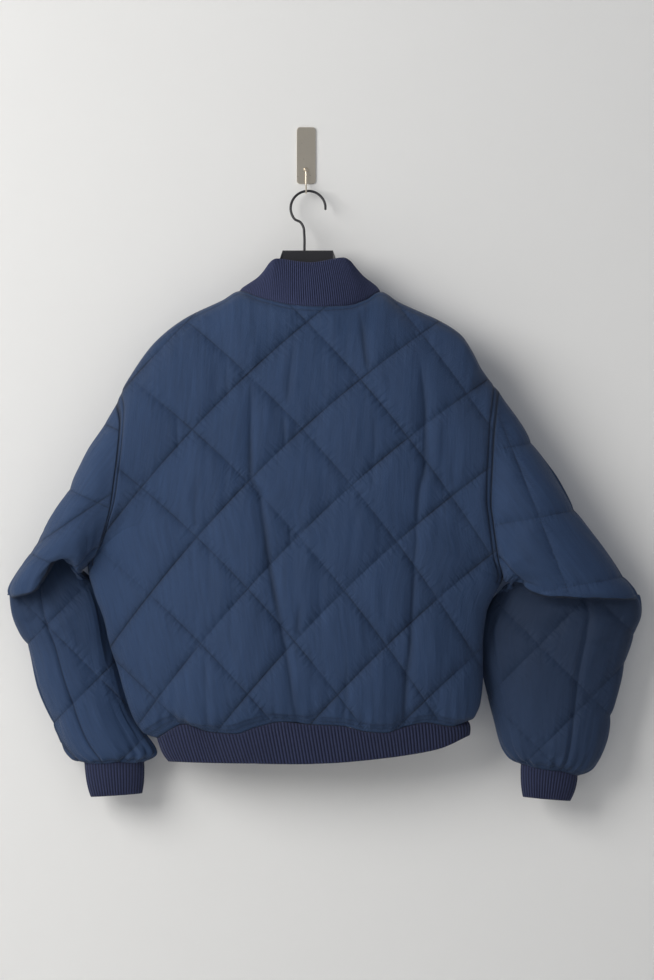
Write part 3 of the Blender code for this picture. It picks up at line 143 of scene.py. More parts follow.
SLEEVE_RIGHT = [  # along m, outer across, down, inner across, down, room m, wall m, middle y, rise
    (0.000, 498, 391, 502.5, 578, 0.043, 0.043, -0.069, 0),
    (0.040, 528, 438, 506, 581, 0.046, 0.043, -0.069, 0),
    (0.080, 556, 484, 508, 583, 0.050, 0.042, -0.067, 1),
    (0.115, 584, 528, 510, 585, 0.049, 0.040, -0.064, 3),
    (0.142, 611, 563, 511, 587, 0.046, 0.038, -0.061, 7),
    (0.166, 634, 592, 508, 589, 0.041, 0.037, -0.057, 12),
    (0.186, 638, 600, 503, 596, 0.022, 0.034, -0.048, 10),
    (0.201, 639.5, 613, 495, 609, 0.027, 0.031, -0.043, 5),
    (0.224, 635.5, 630, 483.5, 636, 0.031, 0.030, -0.041, 1),
    (0.252, 628.6, 652, 482.5, 664, 0.032, 0.030, -0.041, 0),
    (0.292, 620, 682, 486, 690, 0.032, 0.030, -0.041, 0),
    (0.337, 611, 716, 494, 718, 0.032, 0.030, -0.041, 0),
    (0.377, 602, 748, 501, 744, 0.031, 0.029, -0.041, 0),
    (0.405, 591.6, 767, 509, 757, 0.027, 0.026, -0.041, 0),
    (0.418, 578, 775, 521, 764.5, 0.016, 0.016, -0.041, 0)]
ELBOW_LIP = {"left": (0.162, 0.182), "right": (0.166, 0.186)}   # along, the two edges of the step
ELBOW_MIDDLE = {side: sum(edges) / 2 for side, edges in ELBOW_LIP.items()}
LIP_PLACE = {  # turn of the lip's crest round the sleeve and its reach
    "left": (math.radians(116), math.radians(27)), "right": (math.radians(148), math.radians(20))}
ARMPIT = {  # lean of the lower sleeve toward the body: start past the elbow fold, reach, size, m
    "left": (0.024, 0.055, 0.015), "right": (0.034, 0.040, 0.018)}
# The elbow fold's shade is painted shade in the sleeves' colour, on the side toward the room; on the right
# sleeve it reaches to the cuff.
PAINTED_FOLD_SHADE = {"left": (0.045, 0.72), "right": (0.30, 0.80)}  # shade below the elbow fold: reach m, depth
QUILT_ON_SLEEVE = {  # cell numbers as (per across, per down, start) for A and B, above and below the fold
    "left": (((0.557 / 74, 0.831 / 74, 6.390), (-0.409 / 74, 0.912 / 74, 5.648)),
             ((1 / 105, 1 / 105, 7.395), (-1 / 105, 1 / 105, 5.505))),
    "right": (((0.18 / 74, 0.984 / 74, 8.181), (0.93 / 74, -0.366 / 74, 4.204)),
              ((1 / 105, 1 / 105, 11.276), (-1 / 105, 1 / 105, 1.0)))}
SLEEVE_SEAM_TOP = math.radians(140)
SLEEVE_SEAM_LOW = math.radians(69)
SLEEVE_RADIUS = SLEEVE_HALF_GIRTH / math.pi
CUFF_END = {  # outer across, down, inner across, down
    "left": (91, 797, 141, 793.5), "right": (570, 801, 524, 797)}
COLLAR_TOP = [  # turn round the neck 0..1 from front left to front right, across, down, y off middle
    (0.00, 299, 322, 0.040), (0.08, 284, 312, 0.037), (0.20, 268, 289, 0.022),
    (0.30, 267, 270, 0.000), (0.38, 277, 259, -0.024), (0.50, 310, 263, -0.031),
    (0.62, 343, 258, -0.024), (0.70, 354, 269, 0.000), (0.80, 353, 290, 0.022),
    (0.92, 334, 312, 0.037), (1.00, 315, 322, 0.040)]


# ------------------------------------------------------------------ curves
def curve(xs, ys):
    """Smooth curve through rows that keeps to their rises and falls."""
    xs, ys = np.asarray(xs, float), np.asarray(ys, float)
    h = np.diff(xs)
    s = np.diff(ys) / h
    m = np.zeros_like(ys)
    both = s[:-1] * s[1:]
    m[1:-1] = np.where(both > 0, 2 * both / np.where(both > 0, s[:-1] + s[1:], 1), 0)
    m[0], m[-1] = s[0], s[-1]

    def at(x):
        x = np.clip(x, xs[0], xs[-1])
        i = np.clip(np.searchsorted(xs, x) - 1, 0, len(h) - 1)
        t = (x - xs[i]) / h[i]
        return (ys[i] * (1 + 2 * t) * (1 - t) ** 2 + m[i] * h[i] * t * (1 - t) ** 2
                + ys[i + 1] * t * t * (3 - 2 * t) + m[i + 1] * h[i] * t * t * (t - 1))
    return at


def lengths(path):
    """Length along a path up to each of its points."""
    return np.concatenate([[0], np.cumsum(np.linalg.norm(np.diff(path, axis=0), axis=1))])


def sampled(at, run, rows):
    """Rows of three numbers read off at places along a run."""
    return np.stack([np.interp(at, run, rows[:, k]) for k in range(3)], 1)


def unit(vectors):
    return vectors / np.linalg.norm(vectors, axis=-1, keepdims=True)


def metres_x(across):
    return (np.asarray(across, float) - PLATE_ACROSS) * SCALE


def metres_z(down):
    return (PLATE_DOWN - np.asarray(down, float)) * SCALE


def step(t):
    t = np.clip(t, 0, 1)
    return t * t * (3 - 2 * t)


def edge_curve(rows):
    """Sideways place over the share of the way up."""
    down = np.array([r[0] for r in rows], float)
    share = (down[0] - down) / (down[0] - down[-1])
    return curve(share, metres_x([r[1] for r in rows]))


def level_curve(rows):
    """Height over the share of the way across."""
    across = np.array([r[0] for r in rows], float)
    share = (across - across[0]) / (across[-1] - across[0])
    return curve(share, metres_z([r[1] for r in rows]))


left_x, right_x = edge_curve(LEFT_EDGE), edge_curve(RIGHT_EDGE)
hem_z, top_z, hem_bottom_z = level_curve(HEM_SEAM), level_curve(TOP_EDGE), level_curve(HEM_BOTTOM)
back_depth = curve([r[0] for r in BODY_DEPTH], [r[1] for r in BODY_DEPTH])
front_depth = curve([r[0] for r in BODY_DEPTH], [r[2] for r in BODY_DEPTH])
middle_y = curve([r[0] for r in MIDDLE_PLANE], [r[1] for r in MIDDLE_PLANE])
UNDERARM = {side: (rows[0][0] - down) / (rows[0][0] - rows[-1][0])  # share of the height
            for side, rows, down in (("left", LEFT_EDGE, 566), ("right", RIGHT_EDGE, 578))}
NECK_U = [(across - TOP_EDGE[0][0]) / (TOP_EDGE[-1][0] - TOP_EDGE[0][0])
          for across in (NECK_LEFT, NECK_RIGHT)]


# ------------------------------------------------------------------ body of the jacket
def neck_share(u):
    t = np.clip((u - NECK_U[0]) / (NECK_U[1] - NECK_U[0]), 0, 1)
    return np.sin(math.pi * t)


def armhole_depth(v, side):
    w = np.clip((v - UNDERARM[side]) / (1 - UNDERARM[side]), 0, 1)
    return ARMHOLE_DEPTH * np.sqrt(4 * w * (1 - w))


def body(turn, v, front=False):
    """Outer cloth of the body: turn 0..pi from the left to the right edge, v 0..1 hem to top."""
    u = (1 - np.cos(turn)) / 2
    xl, xr = left_x(v), right_x(v)
    x = xl + (xr - xl) * u
    zt = top_z(u)
    if front:
        x = x + 4 * u * (1 - u) * (metres_x(FRONT_MIDDLE) - (xl + xr) / 2)
        to_point = (metres_z(NECK_POINT_DOWN) - zt) * step(neck_share(u) * 3)
        zt = zt - FRONT_NECK_DROP * SCALE * neck_share(u) + to_point
    zb = hem_z(u)
    z = zb + (zt - zb) * v
    half = (front_depth(v) if front else back_depth(v)) * np.sqrt(
        1 - np.clip((v - TOP_ROUND) / (1 - TOP_ROUND), 0, 1) ** 2)
    arm = (1 - u) * armhole_depth(v, "left") + u * armhole_depth(v, "right")
    neck = (NECK_DEPTH_FRONT if front else NECK_DEPTH_BACK) * neck_share(u) ** 0.7 * step((v - 0.8) / 0.2)
    d = np.sqrt((arm * np.cos(turn)) ** 2 + (half * np.sin(turn)) ** 2 + neck ** 2)
    if front:
        y = middle_y(z) + d + SEAM_GAP / 2
    else:
        y = middle_y(z) - d - SEAM_GAP / 2
    return np.stack([x, y, z], -1)


TURN_SIZE = TORSO_HALF_GIRTH / math.pi


def body_surface(front):
    return lambda p: body(p[:, 0] / TURN_SIZE, p[:, 1] / TORSO_LENGTH, front)


def normals(surface, p, low, high, outward):
    """Unit normals of a surface at cloth places p, measured a little inside its edges."""
    e = 0.0012
    c = np.clip(p, np.asarray(low) + 2.5 * e, np.asarray(high) - 2.5 * e)
    du = surface(c + [e, 0]) - surface(c - [e, 0])
    dv = surface(c + [0, e]) - surface(c - [0, e])
    n = np.cross(du, dv)
    n /= np.linalg.norm(n, axis=1, keepdims=True) + 1e-12
    return n * outward


# ------------------------------------------------------------------ quilting
def crossing_fit():
    rows = np.array(CROSSINGS, float)
    x, y = (rows[:, 2] - FIT_ACROSS) / FIT_UNIT, (rows[:, 3] - FIT_DOWN) / FIT_UNIT
    terms = np.stack([np.ones_like(x), x, y, x * x, x * y, y * y], 1)
    return np.linalg.lstsq(terms, rows[:, :2], rcond=None)[0]


FIT = crossing_fit()


def cells(x, z):
    """Cell numbers (A, B) at a place on back or front; whole numbers lie on a stitch line."""
    a = (x / SCALE + PLATE_ACROSS - FIT_ACROSS) / FIT_UNIT
    d = (PLATE_DOWN - z / SCALE - FIT_DOWN) / FIT_UNIT
    return np.stack([np.ones_like(a), a, d, a * a, a * d, d * d], -1) @ FIT


def place_of(cell):
    """Across and down of cell numbers, by a few Newton steps."""
    p = np.zeros((len(cell), 2))
    for _ in range(12):
        here = cells(p[:, 0], p[:, 1])
        e = 1e-4
        gx = (cells(p[:, 0] + e, p[:, 1]) - here) / e
        gz = (cells(p[:, 0], p[:, 1] + e) - here) / e
        det = gx[:, 0] * gz[:, 1] - gx[:, 1] * gz[:, 0]
        r = cell - here
        p = p + np.stack([(r[:, 0] * gz[:, 1] - r[:, 1] * gz[:, 0]) / det,
                          (gx[:, 0] * r[:, 1] - gx[:, 1] * r[:, 0]) / det], 1).clip(-0.15, 0.15)
    return p


def cloth_place(x, z, front):
    """Cloth coordinates on back or front of a place seen from the room."""
    u, v = np.full_like(x, 0.5), np.full_like(x, 0.5)
    for _ in range(40):
        turn = np.arccos(np.clip(1 - 2 * u, -1, 1))
        here = body(turn, np.clip(v, 0, 1), front)
        low, high = hem_z(u), body(turn, np.ones_like(u), front)[:, 2]
        v = (z - low) / (high - low)
        span = right_x(v) - left_x(v)
        u = np.clip(u + (x - here[:, 0]) / span, 0, 1)
    out = (v < 0) | (v > 1) | (u <= 0) | (u >= 1)
    p = np.stack([np.arccos(np.clip(1 - 2 * u, -1, 1)) * TURN_SIZE, v * TORSO_LENGTH], 1)
    p[out] = np.nan
    return p


# ------------------------------------------------------------------ sleeves
def armhole(phi, side):
    """Seam of the sleeve on the body: phi 0 at the shoulder, pi under the arm, room side first."""
    v = UNDERARM[side] + (1 - UNDERARM[side]) * (1 + np.cos(phi)) / 2
    turn = np.full_like(phi, 0.0 if side == "left" else math.pi)
    room = np.sin(phi) >= 0
    return np.where(room[:, None], body(turn, v, False), body(turn, v, True))


def sleeve_rows(side):
    rows = np.array(SLEEVE_LEFT if side == "left" else SLEEVE_RIGHT, float)
    return [curve(rows[:, 0], c) for c in (metres_x(rows[:, 1]), metres_z(rows[:, 2]), metres_x(rows[:, 3]),
            metres_z(rows[:, 4]), rows[:, 5], rows[:, 6], rows[:, 7], rows[:, 8] * SCALE)], rows[-1, 0]


SLEEVE = {side: sleeve_rows(side) for side in ("left", "right")}


def sleeve_ring(phi, along, side):
    ox, oz, ix, iz, room, wall, mid, rise = [f(along) for f in SLEEVE[side][0]]
    c, s = np.cos(phi), np.sin(phi)
    x = (ox + ix) / 2 + (ox - ix) / 2 * c
    z = (oz + iz) / 2 + (oz - iz) / 2 * c
    y = mid - np.where(s >= 0, room, wall) * s
    across = unit(np.stack([ox - ix, oz - iz], -1))
    up = np.stack([-across[..., 1], across[..., 0]], -1) * np.where(across[..., :1] < 0, -1, 1)
    centre, width = LIP_PLACE[side]
    turn = (phi + math.pi) % (2 * math.pi) - math.pi
    lift = rise * np.exp(-((turn - centre) / width) ** 2)
    return np.stack([x + up[..., 0] * lift, y, z + up[..., 1] * lift], -1)


def sleeve(phi, along, side):
    """Outer cloth of a sleeve: phi round it from its outer edge, along it from the armhole."""
    fade = (1 - np.clip(along / 0.11, 0, 1)) ** 2
    seam = armhole(phi, side) - sleeve_ring(phi, 0 * along, side)
    p = sleeve_ring(phi, along, side) + seam * fade[:, None]
    p[:, 0] += SEAM_GAP * (-1 if side == "left" else 1)
    return p


def sleeve_surface(side):
    return lambda p: sleeve(p[:, 0] / SLEEVE_RADIUS, p[:, 1], side)


def hanging_cells(x, z, low, side):
    """Cell numbers of the sleeve's quilting where the cloth hangs."""
    across, down = x / SCALE + PLATE_ACROSS, PLATE_DOWN - z / SCALE
    both = [np.stack([a * across + b * down - c for a, b, c in families], 1)
            for families in QUILT_ON_SLEEVE[side]]
    return np.where(np.asarray(low)[:, None], both[1], both[0])


def seam_turn(along):
    """Place of the sleeve's seam on the side toward the wall."""
    return SLEEVE_SEAM_TOP + (SLEEVE_SEAM_LOW - SLEEVE_SEAM_TOP) * step((along - 0.03) / 0.20)


def armhole_distance(p):
    """How far body places above the underarm are from the armhole seam, 1 below it."""
    u = (1 - np.cos(p[:, 0] / TURN_SIZE)) / 2
    v = p[:, 1] / TORSO_LENGTH
    above = np.where(u < 0.5, v > UNDERARM["left"] - 0.02, v > UNDERARM["right"] - 0.02)
    return np.where(above, np.minimum(u, 1 - u) * (right_x(v) - left_x(v)), 1.0)



# ------------------------------------------------------------------ places of the hook and zip
ZIP_TAPE_HALF, ZIP_TAPE_THICK = 0.011, 0.0011
HOOK_WIRE, WALL_WIRE = 0.0018, 0.0012
HOOK_RADIUS = 0.0245
HOOK_TOP_Z = -0.0504
HOOK_Y = -0.0130
HANGER_TOP_Z = (PLATE_DOWN - 250) * SCALE


def hook_y(z):
    """The hook leans out from its hold on the wall wire to the hanger's body."""
    share = (HOOK_TOP_Z - z) / (HOOK_TOP_Z - HANGER_TOP_Z)
    return HOOK_Y + (float(middle_y(HANGER_TOP_Z)) - HOOK_Y) * share


def wire_shape():
    """Path of the wall wire from the plate's rivet down to its hook, as (y, z, radius)."""
    shape = [(-0.0020, -0.0203, 0.0034), (-0.0034, -0.0203, 0.0033), (-0.0048, -0.0205, 0.0022),
             (-0.0058, -0.0212, WALL_WIRE), (-0.0070, -0.0235, WALL_WIRE), (-0.0075, -0.0280, WALL_WIRE),
             (-0.0075, -0.0400, WALL_WIRE)]
    low = HOOK_TOP_Z - HOOK_WIRE - 0.0006 - WALL_WIRE
    r = 0.0055
    for a in np.radians(np.arange(0, -181, -22.5)):
        shape.append((HOOK_Y + r * math.cos(a), low + r + r * math.sin(a), WALL_WIRE))
    shape += [(HOOK_Y - r - 0.0006, low + r + 0.0035, WALL_WIRE),
              (HOOK_Y - r - 0.0014, low + r + 0.0065, WALL_WIRE)]
    return shape


WIRE_PATH = [(0, y, z) for y, z, _ in wire_shape()]
WIRE_RADII = [q[2] for q in wire_shape()]


# ------------------------------------------------------------------ fine forms of the cloth
DRAPES = [  # name, front, half width m, depth m, path of (down, across)
    ("long centre", False, 0.0080, 0.0068, [(366, 252), (420, 251.5), (475, 251), (494, 260), (522, 264.5),
                                            (559, 269), (614, 279), (656, 287), (702, 294), (729, 298)]),
    ("long right", False, 0.0080, 0.0060, [(345, 417), (421, 425), (462, 425), (496, 418), (540, 416),
                                           (569, 414), (643, 410), (694, 405), (730, 404)]),
    ("upper right", False, 0.0060, 0.0040, [(304, 359), (330, 362), (372, 367)]),
    ("upper left", False, 0.0050, 0.0026, [(350, 226), (384, 227), (404, 228)]),
    ("far left", False, 0.0050, 0.0026, [(400, 177), (430, 178), (456, 179.5)]),
    ("upper centre", False, 0.0060, 0.0026, [(325, 296), (360, 292), (408, 287)]),
    ("centre pinch", False, 0.0035, 0.0030, [(408, 287), (424, 284), (448, 286)]),
    ("middle pinch", False, 0.0035, 0.0030, [(515, 290), (530, 290), (550, 291)]),
    ("middle left", False, 0.0060, 0.0026, [(460, 199), (495, 197), (530, 196)]),
    ("centre right", False, 0.0060, 0.0022, [(400, 372), (440, 374), (490, 372)]),
    ("low pinch", False, 0.0040, 0.0026, [(600, 300), (622, 298), (640, 297)]),
    ("hem left", False, 0.0060, 0.0030, [(640, 205), (690, 207), (728, 208)]),
    ("hem middle", False, 0.0060, 0.0028, [(655, 347), (690, 346), (722, 344)]),
    ("front left", True, 0.0080, 0.0065, [(430, 232), (520, 238), (620, 228), (722, 232)]),
    ("front right", True, 0.0080, 0.0065, [(410, 392), (500, 384), (610, 392), (722, 388)]),
    ("front low", True, 0.0070, 0.0040, [(560, 275), (640, 270), (722, 268)]),
]


def noise(x, y, seed):
    """Smooth uneven field of -1..1 over cells one wide."""
    xi, yi = np.floor(x), np.floor(y)
    sx, sy = step(x - xi), step(y - yi)

    def corner(a, b):
        h = np.sin(a * 127.1 + b * 311.7 + seed * 74.7) * 43758.5453
        return (h - np.floor(h)) * 2 - 1
    low = corner(xi, yi) * (1 - sx) + corner(xi + 1, yi) * sx
    high = corner(xi, yi + 1) * (1 - sx) + corner(xi + 1, yi + 1) * sx
    return low * (1 - sy) + high * sy


def quilt_relief(cell, look, seed):
    """Height of padded cells, sunk and puckered at the stitch lines."""
    near_a, near_b = (np.abs(cell - np.round(cell)) * QUILT_PITCH).T
    rise = (1 - np.exp(-near_a / 0.020)) * (1 - np.exp(-near_b / 0.020))
    dent = np.exp(-near_a / 0.0045) + np.exp(-near_b / 0.0045)
    total = look.puff * 0.95 * rise - look.puff * 0.20 * dent
    for d, run, k in ((near_a, cell[:, 1] * QUILT_PITCH, 0), (near_b, cell[:, 0] * QUILT_PITCH, 1)):
        line = np.round(cell[:, k])
        phase = 2.2 * noise(run / 0.031, line * 3.7, seed + k)
        wave = np.sin(run / 0.0128 * 2 * math.pi + phase * 2.4)
        size = 0.55 + 0.45 * noise(run / 0.045, line * 5.3, seed + 7 + k)
        total = total + look.pucker * wave * size * np.exp(-d / 0.0085) * (1 - np.exp(-d / 0.0012))
    return total


def crumple(x, z, look, seed):
    """Soft uneven wrinkles of hanging cloth, mostly upright."""
    sway = x + 0.010 * noise(x / 0.09, z / 0.12, seed + 3)
    return look.wrinkle * (0.9 * noise(sway / 0.020, z / 0.085, seed)
                           + 0.55 * noise(sway / 0.0095, z / 0.040, seed + 1)
                           + 1.5 * noise(sway / 0.065, z / 0.110, seed + 2))


def drape(x, z, front):
    """How far the long folds sink the cloth, with a soft ridge beside each, and a narrow painted shade along
    each trough.
    """
    total, painted_crease_shade = 0 * x, 0 * x
    down = PLATE_DOWN - z / SCALE
    for name, at_front, half, deep, path in DRAPES:
        if at_front != front:
            continue
        line = curve([p[0] for p in path], metres_x([p[1] for p in path]))
        reach = path[-1][0] - path[0][0]
        ends = step((down - path[0][0]) / min(60, reach * 0.5)) * step((path[-1][0] + 4 - down) / 14)
        d = (x - line(down)) / half
        trough = np.where(d < 0, np.exp(-np.abs(d) / 1.1), np.exp(-np.abs(d) / 0.70))
        total = total + deep * 0.72 * ends * (trough - 0.12 * np.exp(-((d - 1.8) / 1.2) ** 2))
        # Painted shade: a dark streak along the trough of each fold, for the cloth's colour.
        narrow = np.exp(-((x - line(down)) / 0.0042) ** 2)
        painted_crease_shade = np.maximum(painted_crease_shade, ends * min(1.0, 0.45 + deep * 90) * narrow
                            * (0.65 + 0.5 * noise(down / 46, 0 * x, len(name))))
    return total, np.clip(painted_crease_shade, 0, 1)


def body_skin(front, look):
    """Place and way out of the outer cloth of back or front, for cloth coordinates."""
    surface = body_surface(front)
    high = (TORSO_HALF_GIRTH, TORSO_LENGTH)

    def at(p):
        base = surface(p)
        n = normals(surface, p, (0, 0), high, -1 if front else 1)
        turn, v = p[:, 0] / TURN_SIZE, p[:, 1] / TORSO_LENGTH
        x, z = base[:, 0], base[:, 2]
        side = np.minimum(turn, math.pi - turn) * SIDE_RADIUS
        arm = armhole_distance(p)
        edge = np.minimum(np.minimum(side, arm), np.minimum(v, 1 - v) * TORSO_LENGTH)
        if front:
            edge = np.minimum(edge, np.abs(turn - math.pi / 2) * BODY_HALF_WIDTH - ZIP_HALF_GAP)
        fade = step((edge + 0.001) / 0.017)
        lift = quilt_relief(cells(x, z), look, 5 if front else 1)
        lift = lift + crumple(x, z, look, 31 if front else 11)
        up = v * TORSO_LENGTH
        gather = np.exp(-up / 0.022) * np.sin(x / 0.0165 * 2 * math.pi + 3 * noise(x / 0.05, 0 * x, 8))
        gather = gather * (0.6 + 0.6 * noise(x / 0.04, 0 * x, 9)) * step(v * 60)
        lift = lift * fade + look.wrinkle * 1.1 * gather
        lift = lift - drape(x, z, front)[0] * step(side / 0.03) * (0.35 + 0.65 * step(up / 0.02))
        lift = lift - 0.0013 * np.exp(-((arm - 0.0058) / 0.0017) ** 2)
        lift = lift - 0.0010 * np.exp(-((up - 0.0085) / 0.0018) ** 2)
        return base + n * lift[:, None], n

    def gaps(p):
        """Distances from the armhole seam and from rows of stitches, and the painted shade in long folds."""
        hem, top = p[:, 1], TORSO_LENGTH - p[:, 1]
        rows = np.minimum(np.minimum(np.abs(hem - 0.0055), np.abs(hem - 0.0115)), np.abs(top - 0.0055))
        turn = p[:, 0] / TURN_SIZE
        shoulder = np.abs(np.minimum(turn, math.pi - turn) * SIDE_RADIUS - 0.0075)
        rows = np.minimum(rows, np.where(p[:, 1] > 0.80 * TORSO_LENGTH, shoulder, 0.05))
        place = surface(p)
        return np.stack([np.clip(armhole_distance(p), -0.05, 0.05), np.minimum(rows, 0.05),
                         drape(place[:, 0], place[:, 2], front)[1]], 1)
    at.gaps, at.plain = gaps, body_plain(front)
    return at


def sharper(along, side):
    """Moves sleeve rows together so that the fold lip at the elbow is crisp."""
    middle, half = ELBOW_MIDDLE[side], 0.020
    t = (along - middle) / half
    near_lip = np.abs(t) < 1
    t = np.clip(t, -1, 1)
    return np.where(near_lip, middle + half * np.sign(t) * np.abs(t) ** 0.62, along)


def seam_apart(turn, t, side, k):
    """Distance across the cloth from the sleeve's seam on the room side (k 1) or wall side (k -1)."""
    low = np.where((t > ELBOW_MIDDLE[side]) | (k < 0), seam_turn(t), SLEEVE_SEAM_TOP)
    line = np.where(k * np.sin(turn) > 0, low, 9.0)
    return np.abs((turn * k + math.pi) % (2 * math.pi) - math.pi - line) * SLEEVE_REACH


def sleeve_skin(side, look):
    """Place and way out of the outer cloth of a sleeve, for cloth coordinates."""
    surface, end = sleeve_surface(side), SLEEVE[side][1]
    middle = ELBOW_MIDDLE[side]
    out = -1 if side == "left" else 1
    seed = 51 if side == "left" else 71

    def warped(p):
        phi = p[:, 0] / SLEEVE_RADIUS
        room = np.clip(np.sin(phi), 0, 1) ** 0.7
        along = p[:, 1] + (sharper(p[:, 1], side) - p[:, 1]) * room
        q = surface(np.stack([p[:, 0], along], 1))
        over = look.elbow_overhang * np.exp(-((p[:, 1] - middle + 0.007) / 0.0085) ** 2) * room
        q[:, 0] -= out * over * 0.15
        q[:, 2] -= over
        start, reach, far = ARMPIT[side]
        inner = np.clip(-np.cos(phi), 0, 1) ** 0.8 * np.exp(-((p[:, 1] - middle - start) / reach) ** 2)
        inner = inner * step((p[:, 1] - middle + (0.022 if side == "left" else 0.004)) / 0.016)
        q[:, 0] -= out * far * inner
        return q

    def at(p):
        n = normals(warped, p, (-9, 0), (9, end), out)
        base = warped(p)
        turn = p[:, 0] / SLEEVE_RADIUS
        t = p[:, 1]
        edge = np.minimum(t, end - t)
        lip = np.abs(t - middle)
        keep = np.where(np.cos(turn) < -0.75, 0.25, 1.0) * step((t - 0.004) / 0.03)
        keep = keep * np.where(np.sin(turn) > 0, 0.25 + 0.75 * step(lip / 0.022), 1)
        cell = hanging_cells(base[:, 0], base[:, 2], t > middle, side)
        lift = quilt_relief(cell, look, seed) * keep * 0.8
        slant = np.where(t < 0.17, 0.5, 0.0)
        lift = lift + 1.35 * crumple(turn * SLEEVE_REACH + t * slant, t, look, seed) * step(edge / 0.02)
        cuff = np.exp(-(end - t) / 0.020)
        gather = np.sin(turn * 17 + 2.5 * noise(turn * 3, t * 30, seed))
        lift = lift + look.wrinkle * 1.9 * cuff * gather * step((end - t) / 0.008)
        elbow = np.exp(-((t - middle - 0.035) / 0.030) ** 2) * np.clip(np.sin(turn), 0, 1)
        crush = noise(t / 0.010, turn * 2.1, seed + 5) * (0.6 + 0.6 * np.cos(turn))
        lift = lift + look.wrinkle * 2.6 * elbow * crush
        for k in (1, -1):
            lift = lift - 0.0022 * np.exp(-(seam_apart(turn, t, side, k) / 0.0028) ** 2) * step(edge / 0.01)
        return base + n * lift[:, None], n

    def gaps(p):
        """Distances from the armhole seam and from the other seams and stitches."""
        turn, t = p[:, 0] / SLEEVE_RADIUS, p[:, 1]
        gap = np.full_like(t, 0.05)
        for k in (1, -1):
            gap = np.minimum(gap, seam_apart(turn, t, side, k))
        return np.stack([-np.minimum(t, 0.05), np.minimum(gap, np.abs(end - t - 0.006)), 0 * t], 1)
    at.gaps, at.plain = gaps, sleeve_plain(side)
    return at


# ------------------------------------------------------------------ meshes
def new_piece(name, points, faces, finish, smooth=60.0, uvs=None, seams=None):
    """A shaded mesh object with the cloth's own coordinates as its UV map."""
    old = bpy.data.objects.get(name)
    if old:
        bpy.data.objects.remove(old, do_unlink=True)
    mesh = bpy.data.meshes.new(name)
    points = np.asarray(points, float)
    sizes = np.array([len(f) for f in faces])
    flat = np.concatenate([np.asarray(f) for f in faces])
    mesh.vertices.add(len(points))
    mesh.vertices.foreach_set("co", points.ravel())
    mesh.loops.add(len(flat))
    mesh.loops.foreach_set("vertex_index", flat.astype(np.int32))
    mesh.polygons.add(len(sizes))
    mesh.polygons.foreach_set("loop_start", np.concatenate([[0], np.cumsum(sizes)[:-1]]).astype(np.int32))
    mesh.update(calc_edges=True)
    mesh.validate()
    folds = None
    # A third number of the seams values is the painted shade in long folds; it goes to a map of its own.
    if seams is not None and np.shape(seams)[1] > 2:
        seams, folds = seams[:, :2], seams[:, [2, 2]]
    for label, values in (("cloth", uvs), ("seams", seams), ("folds", folds)):
        if values is not None:
            layer = mesh.uv_layers.new(name=label)
            loops = np.empty(len(mesh.loops), np.int32)
            mesh.loops.foreach_get("vertex_index", loops)
            layer.data.foreach_set("uv", np.asarray(values, float)[loops].ravel())
    mesh.materials.append(finish)
    mesh.shade_smooth()
    if smooth < 180:
        mesh.set_sharp_from_angle(angle=math.radians(smooth))
    ob = bpy.data.objects.new(name, mesh)
    bpy.context.scene.collection.objects.link(ob)
    return ob


def facing_out(ob):
    bm = bmesh.new()
    bm.from_mesh(ob.data)
    bmesh.ops.recalc_face_normals(bm, faces=bm.faces[:])
    if bm.calc_volume(signed=True) < 0:
        bmesh.ops.reverse_faces(bm, faces=bm.faces[:])
    bm.to_mesh(ob.data)
    bm.free()
    return ob


def grid_faces(rows, cols, closed, base=0, flip=False):
    r, c = np.meshgrid(np.arange(rows - 1), np.arange(cols if closed else cols - 1), indexing="ij")
    a, b = base + r * cols + c, base + r * cols + (c + 1) % cols
    quads = np.stack([a, b, b + cols, a + cols], -1).reshape(-1, 4)
    return quads[:, ::-1] if flip else quads


def cloth_piece(name, skin, s, t, closed, wall, finish):
    """Closed wall of cloth over a fine grid of cloth coordinates, its inside four times coarser."""
    ratio = 4
    rows, cols = len(t), len(s)
    sg, tg = np.meshgrid(s, t)
    p = np.stack([sg.ravel(), tg.ravel()], 1)
    outer, _ = skin(p)
    grid = outer.reshape(rows, cols, 3)
    ri, ci = np.arange(0, rows, ratio), np.arange(0, cols, ratio)
    coarse = p.reshape(rows, cols, 2)[np.ix_(ri, ci)].reshape(-1, 2)
    plain, out = skin.plain(coarse)
    inner = plain - out * wall
    low = grid[np.ix_(ri, ci)].reshape(-1, 3)
    under = ((low - inner) * out).sum(1) < wall * 0.7
    inner[under] = low[under] - out[under] * wall * 0.7
    n = rows * cols
    kr, kc = len(ri), len(ci)
    faces = [*grid_faces(rows, cols, closed), *grid_faces(kr, kc, closed, n, True)]
    rims = [(np.arange(cols), n + np.arange(kc), True),  # outer places, inner places, turned over
            ((rows - 1) * cols + np.arange(cols), n + (kr - 1) * kc + np.arange(kc), False)]
    if not closed:
        rims += [(np.arange(rows) * cols, n + np.arange(kr) * kc, False),
                 (np.arange(rows) * cols + cols - 1, n + np.arange(kr) * kc + kc - 1, True)]
    for o, i, flip in rims:
        count = len(i) if closed else len(i) - 1
        for j in range(count):
            for q in range(ratio):
                f = (o[(j * ratio + q) % len(o)], o[(j * ratio + q + 1) % len(o)], i[j])
                faces.append(f[::-1] if not flip else f)
            f = (o[(j * ratio + ratio) % len(o)], i[(j + 1) % len(i)], i[j])
            faces.append(f[::-1] if not flip else f)
    uv = np.concatenate([p, coarse])
    ob = new_piece(name, np.concatenate([outer, inner]), faces, finish, 180.0, uv, skin.gaps(uv))
    return facing_out(ob)


def body_plain(front):
    surface = body_surface(front)

    def at(p):
        return surface(p), normals(surface, p, (0, 0), (TORSO_HALF_GIRTH, TORSO_LENGTH), -1 if front else 1)
    return at


def sleeve_plain(side):
    surface = sleeve_surface(side)

    def at(p):
        return surface(p), normals(surface, p, (-9, 0), (9, SLEEVE[side][1]), -1 if side == "left" else 1)
    return at


